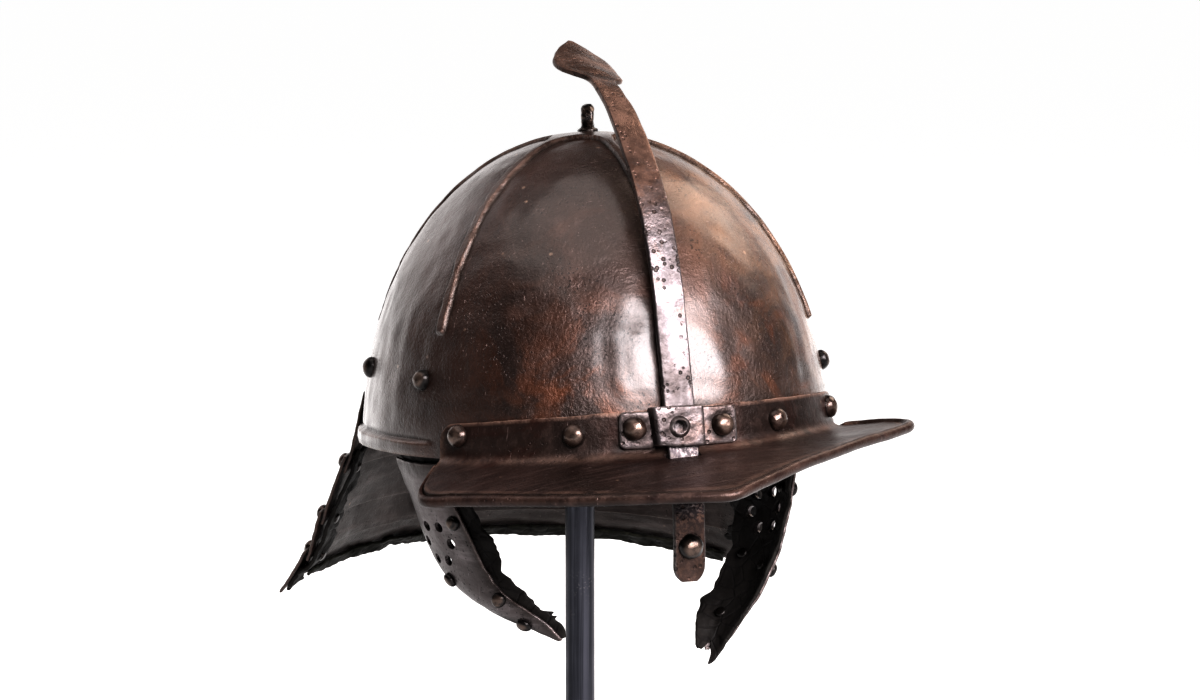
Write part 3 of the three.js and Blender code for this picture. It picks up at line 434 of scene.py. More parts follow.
def leather(name, tint=(0.006, 0.005, 0.0045), edge=(0.022, 0.02, 0.017)):
    """Old black leather: grain, cracks and greyed, greenish torn edges."""
    k = Look(name)
    c = k.colour(k.span(k.noise(60, 6, 0.62, 0.5), 0.35, 0.7), tint, tuple(2.2 * x for x in tint))
    crack = k.span(k.cells(130, "DISTANCE_TO_EDGE"), 0.07, 0.015)
    c = k.colour(k.math("MULTIPLY", crack, 0.6), c, (0.004, 0.003, 0.003))
    c = k.colour(k.math("MULTIPLY", k.attr("wear"), k.span(k.noise(150, 5), 0.4, 0.62), True), c, edge)
    h = k.math("SUBTRACT", k.math("ADD", k.math("MULTIPLY", k.cells(420), 0.5), k.math("MULTIPLY", k.noise(90, 5), 0.9)), k.math("MULTIPLY", crack, 0.7))
    return k.done(c, k.span(k.noise(80, 4), 0.3, 0.7, 0.5, 0.8), k.bump(h, 0.5, 0.0007), 0.0, 0.0, 0.3, 0.14)


def rivet_iron(name, colour=(0.016, 0.009, 0.007), bright=(0.06, 0.036, 0.028), coat=0.35):
    k = Look(name)
    c = k.colour(k.span(k.noise(180, 5, 0.6), 0.35, 0.7), colour, bright)
    c = k.colour(k.math("MULTIPLY", k.attr("wear"), k.span(k.noise(260, 4), 0.3, 0.55), True), c, (0.2, 0.14, 0.11))
    # dirt_and_shade: painted shade under the head and at the foot of each rivet
    c = k.colour(k.math("MULTIPLY", k.attr("dirt_and_shade"), 0.9, True), c, (0.008, 0.006, 0.005))
    h = k.math("ADD", k.math("MULTIPLY", k.noise(240, 4, 0.6), 0.8), k.math("MULTIPLY", k.cells(420), 0.4))
    return k.done(c, k.span(k.noise(220, 4), 0.3, 0.7, 0.22, 0.42), k.bump(h, 0.5, 0.0005), 0.75, coat, 0.2)


def stand_steel(name):
    k = Look(name)
    lines = k.noise(1.0, 4, 0.6, 0.0, k.mapped((500, 500, 9)))
    c = k.colour(k.span(lines, 0.35, 0.65), (0.028, 0.029, 0.036), (0.075, 0.076, 0.092))
    c = k.colour(k.span(k.noise(38, 6, 0.65, 0.4), 0.6, 0.72, 0, 0.6), c, (0.07, 0.055, 0.05))
    scuff = k.math("MULTIPLY", k.span(k.noise(900, 2), 0.58, 0.66), k.span(k.noise(22, 3), 0.54, 0.64))
    c = k.colour(k.math("MULTIPLY", scuff, 0.3), c, (0.4, 0.37, 0.36))
    h = k.math("ADD", k.math("MULTIPLY", lines, 0.5), k.math("MULTIPLY", k.noise(400, 4), 0.4))
    return k.done(c, k.span(k.noise(60, 5), 0.3, 0.7, 0.3, 0.46), k.bump(h, 0.35, 0.0003), 0.9, 0.0)


# the skull's rust_and_sheen colour also paints the warm sheen on its right side
SKULL_LOOK = iron("skull_patina", (0.014, 0.0062, 0.0042), (0.037, 0.0185, 0.0135), (0.078, 0.047, 0.039), (0.085, 0.026, 0.0085), 0.85, 0.5, (0.28, 0.44), 0.7, grain=0.0017)
PEAK_LOOK = iron("peak_patina", (0.009, 0.004, 0.003), (0.026, 0.0135, 0.0108), (0.062, 0.038, 0.032), (0.022, 0.0045, 0.002), 0.95, 0.5, (0.33, 0.5), 0.12, streak=(22, 420, 210), specular=0.25)
PLATE_LOOK = iron("plate_patina", (0.02, 0.0135, 0.0115), (0.052, 0.038, 0.034), (0.115, 0.09, 0.084), (0.05, 0.027, 0.016), 0.35, 0.45, (0.36, 0.56), 0.15, streak=(22, 22, 240), specular=0.3)
# CHEEK_LOOK is a lighter, lavender-grey copy of the iron, a painted sheen standing in for the cheek plates' soft
# highlight
CHEEK_LOOK = iron("cheek_patina_painted_sheen", (0.035, 0.027, 0.026), (0.095, 0.078, 0.078), (0.2, 0.175, 0.178), (0.06, 0.033, 0.02), 0.3, 0.65, (0.32, 0.5), 0.3, streak=(60, 60, 300))
STEEL_LOOK = worn_steel("worn_steel")
LEATHER_LOOK = leather("black_leather")
EDGE_LEATHER_LOOK = leather("torn_leather", (0.01, 0.0098, 0.0075), (0.05, 0.05, 0.037))
RIVET_LOOK = rivet_iron("rivet_iron")
BLACK_LOOK = rivet_iron("blackened_iron", (0.0035, 0.0028, 0.0026), (0.014, 0.011, 0.0105), 0.12)
STAND_LOOK = stand_steel("stand_steel")

# ---------------------------------------------------------------------- skull
GAP = 0.35
HALF_W, HALF_L, HEIGHT, SUNK, POWER, WALL = 100.0, 111.0, 136.0, 6.5, 2.08, 2.2
RIB_AT = [rad(a) for a in (0, 62, 118, 180, 242, 298)]
RIB_HALF, RIB_UP, RIB_END, STAR_R, STAR_FILLET = 2.1, 1.7, 49.8, 16.5, 11.0


def sk_scale(z):
    h = np.clip((np.asarray(z, float) + SUNK) / HEIGHT, 0, 1)
    return np.maximum(1 - h**POWER, 0) ** (1 / POWER)


def sk_normal(a, z):
    g = np.maximum(sk_scale(z), 1e-4)
    h = np.clip((np.asarray(z, float) + SUNK) / HEIGHT, 0, 1)
    return unit(at(g ** (POWER - 1) * np.sin(a) / HALF_W, g ** (POWER - 1) * np.cos(a) / HALF_L, h ** (POWER - 1) / HEIGHT))


def sk_point(a, z, off=0.0):
    g = sk_scale(z)
    return at(HALF_W * g * np.sin(a), HALF_L * g * np.cos(a), z) + sk_normal(a, z) * np.asarray(off, float)[..., None]


def plan_angle(deg):
    return math.atan2(math.sin(rad(deg)) / HALF_W, math.cos(rad(deg)) / HALF_L)


def skull():
    # rows at even steps along the profile, from the crown to the rim
    phi = np.linspace(rad(90), 0, 4000)
    zz = HEIGHT * np.sin(phi) ** (2 / POWER) - SUNK
    rr = 105.5 * np.cos(phi) ** (2 / POWER)
    s = np.concatenate([[0], np.cumsum(np.hypot(np.diff(zz), np.diff(rr)))])
    end = np.interp(0, -zz, s)
    z = np.interp(np.linspace(0.9, end, 176), s, zz)
    z = np.unique(np.concatenate([z, [48.8, 49.3, 49.8, 50.3, 50.8, 7.8, 7.2, 6.6, 6.0, 5.4, 4.6, 0.7, 0.2, 0.0]]))[::-1]
    z = np.maximum(z, 0)
    M, near = 34, 13
    r = sk_scale(z) * 105.5
    cols = []
    for k, a in enumerate(RIB_AT):
        b = RIB_AT[(k + 1) % 6] + (2 * np.pi if k == 5 else 0)
        L = r * (b - a) / 2
        D = np.minimum(5.0, 0.45 * L)
        j = np.arange(M + 1)
        d = np.where(j[None] <= near, D[:, None] * j / near, D[:, None] + (L - D)[:, None] * (j - near) / (M - near))
        ang = d / np.maximum(r, 1e-6)[:, None]
        cols += [(a + ang[:, i], d[:, i]) for i in range(M + 1)] + [(b - ang[:, i], d[:, i]) for i in range(M - 1, 0, -1)]
    A = np.stack([c[0] for c in cols], 1)
    D = np.stack([c[1] for c in cols], 1)
    Z = np.repeat(z[:, None], A.shape[1], 1)
    R = np.repeat(r[:, None], A.shape[1], 1)
    q1, q2 = STAR_FILLET - (D - RIB_HALF), STAR_FILLET - (R - STAR_R)
    sag = 0.28 * waves(at(100 * np.sin(A), 100 * np.cos(A), Z), 7, 12) + 0.16 * waves(at(100 * np.sin(A), 100 * np.cos(A), Z), 3, 13)
    dist = np.where((q1 > 0) & (q2 > 0), STAR_FILLET - np.hypot(np.maximum(q1, 0), np.maximum(q2, 0)), np.minimum(D - RIB_HALF, R - STAR_R)) + sag * sm(R, 6, 20)
    live = sm(Z, RIB_END - 0.6, RIB_END + 0.5)
    up = RIB_UP * (1 - sm(dist, -0.9, 0.8)) * live
    turn = np.abs(np.arctan2(np.sin(A), np.cos(A)))
    side = sm(turn, rad(60), rad(68))
    border = 2.0 * side * (1 - sm(Z, 5.0, 6.8)) * (1 - 0.3 * sm(Z, 2.2, 0.0))
    border -= 0.45 * side * np.exp(-(((Z - 7.3) / 0.8) ** 2))
    p0 = sk_point(A, Z)
    free = np.maximum(sm(Z, 20, 30), side)
    hammer = 0.13 * waves(p0, 34, 3) + 0.07 * waves(p0, 12, 4) + 0.1 * waves(p0, 11, 5, stretch=(1, 1, 6)) * sm(Z, 100, 60)
    # planished facets run down the brow on the right of the bar
    facet = 0.2 * sm(np.sin(A * 52 + 1.2 * waves(p0, 50, 8)), -0.3, 0.4) * np.exp(-(((A + 2 * np.pi * (A < -np.pi) + 0.0 - np.where(A > np.pi, 2 * np.pi, 0) + 0.16) / 0.2) ** 2)) * sm(Z, 92, 60)
    off = up + border + free * (hammer + facet) * (1 - 0.6 * live * (dist < 0.3))
    outer = sk_point(A, Z, off)
    outer[Z <= 0.01, 2] = 0
    wear = live * np.exp(-(((dist + 0.35) / 0.5) ** 2)) * 0.34 + 0.12 * live * (1 - sm(dist, -1.4, -0.2)) * (R > STAR_R + 4) + 0.55 * side * np.exp(-(((Z - 5.2) / 0.7) ** 2)) + 0.5 * side * np.exp(-((Z / 0.8) ** 2))
    # painted shade: dirt_and_shade darkens the foot of each rib, the groove above the side border and a band just above
    # the peak's flange; the inside faces are painted fully dark
    dirt_and_shade = 0.95 * live * np.exp(-(((dist - 0.5) / 0.85) ** 2)) + 0.8 * side * np.exp(-(((Z - 7.2) / 0.7) ** 2)) + (1 - side) * 0.35 * np.exp(-(((Z - 21.5) / 2.0) ** 2))
    plan = np.arctan2(np.sin(A), np.cos(A))
    front = np.exp(-(((plan + 0.32) / 0.36) ** 2)) * sm(Z, 80, 22)
    # painted warm reflection: the right and upper-right terms of warm, and tan, colour the skull's right side; the
    # front term of warm is reddish oxide
    right = np.exp(-(((plan - 0.75) / 0.5) ** 2)) * sm(Z, 118, 60)
    tan = np.clip(np.exp(-(((plan - 0.95) / 0.42) ** 2)) * sm(Z, 10, 40) + 0.5 * np.exp(-(((plan - 0.5) / 0.3) ** 2)) * sm(Z, 60, 90), 0, 1)
    warm = np.clip(0.12 + 1.1 * front + 0.75 * right + 0.3 * sm(Z, 70, 110) * np.exp(-(((plan - 0.4) / 0.7) ** 2)), 0, 1)
    zi = np.array([0, 6, 14, 26, 40, 54, 68, 82, 95, 106, 115, 121, 124.6, 126.6])
    Ai = np.stack([np.interp(zi, z[::-1], A[::-1, i]) for i in range(A.shape[1])], 1)
    Zi = np.repeat(zi[:, None], A.shape[1], 1)
    inner = sk_point(Ai, Zi, -WALL + 0.25 * waves(sk_point(Ai, Zi), 24, 9) * (Zi > 1))
    inner[0, :, 2] = 0
    lip = (outer[-1] + inner[0]) / 2
    lip[:, 2] = -0.35
    rings = np.concatenate([outer, lip[None], inner])
    n = A.shape[1]
    v = rings.reshape(-1, 3)
    faces = grid_faces(len(rings), n, wrap=True)
    top = HEIGHT - SUNK
    v = np.concatenate([v, [[0, 0, top + RIB_UP], [0, 0, top - WALL]]])
    a, b, last = len(v) - 2, len(v) - 1, (len(rings) - 1) * n
    faces += [[i, (i + 1) % n, a] for i in range(n)] + [[last + (i + 1) % n, last + i, b] for i in range(n)]

    def full(x, inside):
        return np.concatenate([x.ravel(), np.full(n * (1 + len(zi)), inside), [x[0, 0], inside]])

    piece("skull_shell", v, faces, SKULL_LOOK, ["skull"], attrs={"wear": full(wear, 0), "dirt_and_shade": full(dirt_and_shade, 1.0), "warm": full(warm, 0.3), "tan": full(tan, 0.0)}, weld=False, sharp=60)


skull()

# ----------------------------------------------------------------------- peak
FL_OUT = GAP + 1.8
PEAK_END, PEAK_WALL = rad(58), 1.8


def radius_at(l, f):
    h = np.hypot(l, f)
    return 1 / np.hypot(l / h / HALF_W, f / h / HALF_L)


def peak_z(l, f):
    reach = np.hypot(l, f) - radius_at(l, f) - FL_OUT
    k = np.clip(reach / 40, 0, 1)
    return 3 - 0.19 * reach + 0.042 * l + 0.03 * l * k + k * (1.2 + 0.024 * l) - 2.4 * sm(l, 55, 90) * (1 - np.clip(reach / 22, 0, 1))


def peak_half(side, n=600):
    tip = np.array([-2.0, 171.0])
    corner, bulge = (np.array([-109.0, 93.0]), 8) if side < 0 else (np.array([115.0, 91.0]), 1)
    root = sk_point(PEAK_END * side, 2.0, FL_OUT + 2.6)
    end = np.array([root[0], -root[1]])
    to_tip, to_end = unit(tip - corner), unit(end - corner)
    s1, s2 = corner + to_tip * 15, corner + to_end * 15
    middle = (tip + s1) / 2 + np.array([side * to_tip[1], -side * to_tip[0]]) * bulge * 2
    t = np.linspace(0, 1, n)[:, None]
    q = lambda a, b, c: (1 - t) ** 2 * a + 2 * t * (1 - t) * b + t * t * c
    return np.concatenate([q(tip, middle, s1), q(s1, corner, s2)[1:], (s2 + (end - s2) * t)[1:]])


def peak():
    per = 210
    outline = {}
    for side in (-1, 1):
        p = peak_half(side)
        s = np.concatenate([[0], np.cumsum(np.linalg.norm(np.diff(p, axis=0), axis=1))])
        w = np.linspace(0, 1, per + 1)
        w = w - 0.06 * np.sin(2 * np.pi * w) / (2 * np.pi)
        outline[side] = (w, np.stack([np.interp(w * s[-1], s, p[:, i]) for i in (0, 1)], -1))
    line = np.concatenate([outline[-1][1][::-1], outline[1][1][1:]])
    ws = np.concatenate([-outline[-1][0][::-1], outline[1][0][1:]])
    soft = smooth_rows(line, 5)
    k = np.exp(-((ws / 0.035) ** 2))[:, None]
    line = line * (1 - k) + soft * k
    side = np.where(ws < 0, -1.0, 1.0)
    aw = np.abs(ws)
    ang = side * PEAK_END * (1 - (1 - np.minimum(aw * 1.02, 1)) ** 1.35)
    arc = (PEAK_END - np.abs(ang)) * HALF_W
    rnd = np.where(arc < 6, 6 - np.sqrt(np.maximum(0, 36 - (6 - arc) ** 2)), 0)
    top = 20.5 - 4.3 * (ang / PEAK_END) ** 2 + 0.03 * sk_point(ang, 8.0 + 0 * ang)[:, 0] - rnd
    top = top + 0.25 * ragged(ang * 100, 41) * sm(arc, 0, 12)

    def flange(z, off):
        return sk_point(ang, z, np.full_like(ang, off))

    r_in, r_out = flange(2 + 0 * ang, GAP), flange(2 + 0 * ang, FL_OUT)
    plan_out = np.stack([r_out[:, 0], -r_out[:, 1]], -1)
    fold = peak_z(plan_out[:, 0], plan_out[:, 1])
    width = np.linalg.norm(line - plan_out, axis=1)
    out = unit(line - plan_out)
    r = np.minimum(2.25, width * 0.27) * (1 + 0.035 * ragged(np.arange(len(ws)) * 1.0, 42))
    inset = 1 - 1.85 * r / width

    def brim(kk, down):
        q = plan_out + (line - plan_out) * kk[:, None]
        z = peak_z(q[:, 0], q[:, 1])
        z = z + 0.14 * waves(at(q[:, 0], q[:, 1], 0 * z), 48, 11) * sm(kk * width, 2, 14)
        return at(q[:, 0], q[:, 1], z - (PEAK_WALL if down else 0))

    edge_z = peak_z(line[:, 0], line[:, 1]) + 0.14 * waves(at(line[:, 0], line[:, 1], 0 * r), 48, 11) * sm(width, 2, 14) - PEAK_WALL / 2

    def bead(turn):
        c = line - out * r[:, None]
        return at(c[:, 0] + out[:, 0] * r * math.cos(turn), c[:, 1] + out[:, 1] * r * math.cos(turn), edge_z - 0.25 + r * math.sin(turn))

    rings, wear, dirt_and_shade = [], [], []

    def add(p, w=0.0, g=0.0):
        rings.append(p)
        wear.append(np.full(len(ws), w))
        dirt_and_shade.append(np.full(len(ws), g))

    # dirt_and_shade here paints shade under the brim and in the crease where the bead meets the brim's top
    for kk in np.linspace(0, 1, 5):
        add(flange(mix(top - 0.3, fold - PEAK_WALL, kk), GAP), 0, 0.3)
    for kk in np.linspace(0.05, 1, 12):
        add(brim(inset * kk, True), 0, 0.25)
    for turn in np.linspace(-2.55, 2.55, 17):
        add(bead(turn), 0.16 * math.exp(-((turn - 0.35) / 0.8) ** 2), 0.55 if turn > 2.2 else 0)
    add(brim(inset - 0.6 / width, False), 0, 0.75)
    for kk in np.linspace(0.98, 0.0, 22)[:-1]:
        k1 = np.minimum(inset - 1.1 / width, 1) * kk + (1 - kk) * np.minimum(6.2 / width, 0.3)
        add(brim(k1, False), 0.28 * (kk > 0.9))
    rise = np.minimum(4.2, (top - fold) * 0.3)
    a, c = brim(np.minimum(6.0 / width, 0.28), False), flange(fold + rise, FL_OUT)
    b = brim(0 * width, False)
    for t in np.linspace(0, 1, 7):
        add((1 - t) ** 2 * a + 2 * t * (1 - t) * b + t * t * c, 0.3 * math.exp(-(((t - 0.45) / 0.25) ** 2)), 0.2 if t > 0.8 else 0)
    for kk in np.linspace(0.12, 1, 9):
        add(flange(mix(fold + rise, top - 0.5, kk), FL_OUT), 0.6 if kk > 0.97 else 0)
    add(flange(top, FL_OUT - 0.3), 1.0)
    add(flange(top, GAP + 0.4), 1.0)
    P = np.stack(rings, 1)
    v, faces = tube(P)
    W, G = np.stack(wear, 1), np.stack(dirt_and_shade, 1)
    # the flange is redder than the brim, and the whole outer face of the flange and the fold below it are darkened
    # (dirt_and_shade)
    warm = np.zeros_like(W)
    warm[:, -18:] = 0.9
    warm[:, 17:45] = 0.25
    G[:, -11:-3] += 0.4
    G[:, -18:-11] += 0.2
    end_wear = np.exp(-((arc / 2.5) ** 2))[:, None] * 0.6
    o = piece("peak_plate", v, faces, PEAK_LOOK, ["peak"], attrs={"wear": np.clip(W + end_wear, 0, 1), "dirt_and_shade": G, "warm": warm}, sharp=50)
    # slot that the bar slides in
    up, fwd = unit(at(0, -0.2103, 1)), unit(at(0, 1, 0.2103))
    c = at(-3.2, 117.4, 0)
    box = [c + sx * 7.2 * np.array([1.0, 0, 0]) + sy * 2.2 * fwd + sz * 15 * up for sx, sy, sz in [(-1, -1, -1), (1, -1, -1), (1, 1, -1), (-1, 1, -1), (-1, -1, 1), (1, -1, 1), (1, 1, 1), (-1, 1, 1)]]
    cut(o, [(np.array(box), [[0, 1, 2, 3], [7, 6, 5, 4], [0, 4, 5, 1], [1, 5, 6, 2], [2, 6, 7, 3], [3, 7, 4, 0]])])


peak()

# ------------------------------------------------------------------ nasal bar
BAR_L = -3.2
BAR_TABLE = [  # f, z, half width, thickness
    (120.2, -47.0, 3.4, 3.0), (120.4, -45.6, 5.2, 3.0), (120.8, -42.5, 6.4, 3.0), (121.5, -34, 6.5, 3.0), (121.7, -26, 6.4, 3.0),
    *[(117.4 - 0.2103 * z, z, 6.4, 3.0) for z in (-20, 0, 22, 44, 66)],
    (97.9, 82, 6.4, 3.0), (90.3, 98, 6.4, 3.0), (80.2, 112, 6.3, 3.0), (66.6, 126.4, 6.2, 3.0), (52.6, 139, 6.0, 2.8), (37, 148.4, 5.9, 2.6),
    (29.5, 151.2, 5.9, 2.4), (25.6, 152.6, 7.2, 2.3), (23.4, 153.4, 11.2, 2.3), (20.0, 154.8, 13.6, 2.3), (15, 156.8, 14.8, 2.3), (7, 159.8, 14.9, 2.3), (-1, 163, 13.0, 2.3),
    (-6.5, 165.4, 9.0, 2.2), (-10.5, 167.4, 4.4, 2.0), (-13.2, 169.2, 1.4, 1.6),
]


def nasal_bar():
    t = np.array(BAR_TABLE, float)
    s = np.concatenate([[0], np.cumsum(np.hypot(np.diff(t[:, 0]), np.diff(t[:, 1])))])
    n = int(s[-1] / 0.6)
    x = np.linspace(0, s[-1], n)
    d = np.stack([np.interp(x, s, t[:, i]) for i in range(4)], -1)
    d[:, :2] = smooth_rows(d[:, :2], 5)
    w = smooth_rows(d[:, 2:3], 1.6)[:, 0]
    th = smooth_rows(d[:, 3:4], 5)[:, 0]
    f, z = d[:, 0], d[:, 1]
    tangent = unit(np.gradient(at(0, f, z), axis=0))
    turn = rad(-12) * sm(z, 126, 152)
    e = np.array([1.0, 0, 0])
    perp = np.cross(tangent, e)
    across = e * np.cos(-turn)[:, None] + perp * np.sin(-turn)[:, None]
    out = -unit(np.cross(tangent, across))
    # rounded bar section, going round once
    m = 10
    ring = []
    for cx, cy, a0 in ((1, 1, 0), (-1, 1, 90), (-1, -1, 180), (1, -1, 270)):
        for k in range(4):
            a = rad(a0 + 30 * k)
            ring.append((cx, cy, math.cos(a), math.sin(a)))
        if cx == cy:
            for k in range(1, m):
                ring.append((cx * (1 - 2 * k / m), cy, 0, cy))
    c = at(BAR_L, f, z)
    leaf = sm(z, 152.5, 156)
    rows = []
    for cx, cy, ca, sa in ring:
        rc = np.minimum(0.8, np.minimum(w * 0.4, th * 0.36))
        u = cx * (w - rc) + rc * ca
        v = cy * (th / 2 - rc) + rc * sa
        u = u * (1 + 0.012 * ragged(x, 51 + (cx > 0)))
        u = u * (1 + leaf * sm(f, 12, -5) * (0.3 if cx > 0 else -0.16) * (1 if abs(ca) > 0.01 or m == 0 else 1))
        bow = leaf * (0.9 - 0.016 * u**2 + 0.9 * sm(np.abs(u), 9, 14))
        rows.append(c + across * u[:, None] + out * (v + bow)[:, None])
    P = np.stack(rows, 1)
    P = P + out[:, None] * (0.05 * waves(P, 14, 52) + 0.03 * waves(P, 5, 53))[..., None]
    v, faces = tube(P)
    rim = np.array([1.0 if abs(ca) * abs(sa) > 0.2 else 0.0 for _, _, ca, sa in ring])
    Z = np.repeat(z[:, None], len(ring), 1)
    patina = 0.95 * sm(Z, 82, 122) + 0.9 * sm(Z, -18, -23)
    spots = sm(Z, 7, 5) * (1 - 0.55 * sm(Z, -20, -28)) + 0.35 * sm(Z, 30, 60) * (1 - sm(Z, 100, 130))
    # painted shade: the back face and the left side face are darkened (inside), a painted shadow line runs under the
    # leaf's lip (lip), and the bar is darker low down, under the peak and below the stop
    inside = np.array([1.0 if cy < 0 and abs(ca) < 0.5 else (0.75 if abs(ca) > 0.6 and cx < 0 else 0.0) for cx, cy, ca, sa in ring])
    lip = np.exp(-(((Z - 152.8) / 0.9) ** 2)) * 0.6
    piece("nasal_bar_forged", v, faces, STEEL_LOOK, ["nasal_bar"], "nasal", attrs={
        "patina": np.clip(patina, 0, 1), "spots": spots, "wear": rim[None] * 0.3 * sm(Z, 120, 60) + 0 * Z, "dirt_and_shade": np.clip(0.75 * inside[None] + lip + 0.12 * sm(Z, 7, 5) + 0.35 * sm(Z, -18, -23), 0, 1)}, sharp=55)


nasal_bar()


# --------------------------------------------------------------------- rivets
def rivet(name, point, direction, head, rise, shank, button, button_rise, grip, seed, look=None, body="helmet", sides=26, node=None, squash=1.0):
    low = -grip - GAP
    prof = [(0, low - button_rise)]
    prof += [(button * math.sin(a), low - button_rise * math.cos(a)) for a in np.linspace(0.25, math.pi / 2, 6)]
    prof += [(shank, low + 0.05), (shank, -0.3), (head * 0.96, -0.3), (head * 1.02, 0.05)]
    prof += [(head * math.cos(a) ** 0.92, GAP + rise * math.sin(a)) for a in np.linspace(0.02, math.pi / 2, 12)[:-1]]
    prof += [(0, GAP + rise)]
    v, faces = lathe(prof, sides)
    top = v[:, 2] > -0.25
    g = np.random.default_rng(seed)
    shift = g.uniform(-0.25, 0.25, 2)
    bumps = 0.025 * waves(v + seed * 7, 5, 61) + 0.01 * waves(v + seed * 3, 2.2, 62)
    v = v + np.where(top[:, None], v * np.array([1, 1, 0.6]) * bumps[:, None], 0)
    v[:, :2] += np.where(top[:, None], shift * np.clip(v[:, 2:3] / rise, 0, 1), 0)
    h = np.clip((v[:, 2] - 0.2) / rise, 0, 1)
    # painted shade: dirt_and_shade darkens under the head and in the crease at the dome's foot
    attrs = {"wear": sm(h, 0.55, 1.0) * 0.45, "dirt_and_shade": np.where(v[:, 2] < 0.25, 0.9, 0.5 * (1 - sm(h, 0, 0.25))), "warm": 0 * h}
    piece(name, along(v, point, direction), faces, look or RIVET_LOOK, [node], body, attrs, sharp=50)


BIG = dict(head=4.6, rise=3.7, shank=1.9, button=3.2, button_rise=1.1)
STRAP = dict(head=4.3, rise=3.4, shank=1.7, button=3.0, button_rise=1.0)
LAMER = dict(head=3.3, rise=2.2, shank=1.3, button=2.4, button_rise=0.9)
CHEEKR = dict(head=3.2, rise=1.9, shank=1.3, button=2.4, button_rise=0.9)


def skull_rivet(node, deg, z, outside, inside, form, seed, look=None):
    a = plan_angle(deg)
    rivet(node + "_dome", sk_point(a, z, outside), sk_normal(a, z), grip=outside + WALL + inside, seed=seed, look=look, node=node, **form)


for i, (node, deg, z) in enumerate([("peak_rivet_right_outer", -50, 9.6), ("peak_rivet_right_inner", -23, 10.8), ("peak_rivet_left_inner", 23, 12.6), ("peak_rivet_left_outer", 50, 13.2)]):
    skull_rivet(node, deg, z, FL_OUT, 0.9, BIG, 100 + i)
for i, (node, deg, z) in enumerate([("strap_rivet_right_front", -64, 31), ("strap_rivet_right_rear", -97, 33), ("strap_rivet_left_front", 64, 31), ("strap_rivet_left_rear", 97, 33)]):
    skull_rivet(node, deg, z, 0.0, 2.8, STRAP, 110 + i, BLACK_LOOK)


def flange_angle(l):
    return np.arcsin(np.clip(l / (HALF_W * sk_scale(13.0)), -1, 1))


for i, (node, u) in enumerate([("bracket_rivet_right", -17.4), ("bracket_rivet_left", 17.4)]):
    p = sk_point(flange_angle(BAR_L + u), 13.0)
    skull_rivet(node, math.degrees(math.atan2(p[0], -p[1])), 13, FL_OUT + 2.3, 0.9, BIG, 120 + i)
rivet("nasal_stop_dome", np.array([BAR_L, -(121.55 + 1.5), -33.0]), at(0, 1, 0.03), 5.0, 3.9, 1.9, 3.4, 1.2, 3.0, 130, BLACK_LOOK, body="nasal", node="nasal_stop")


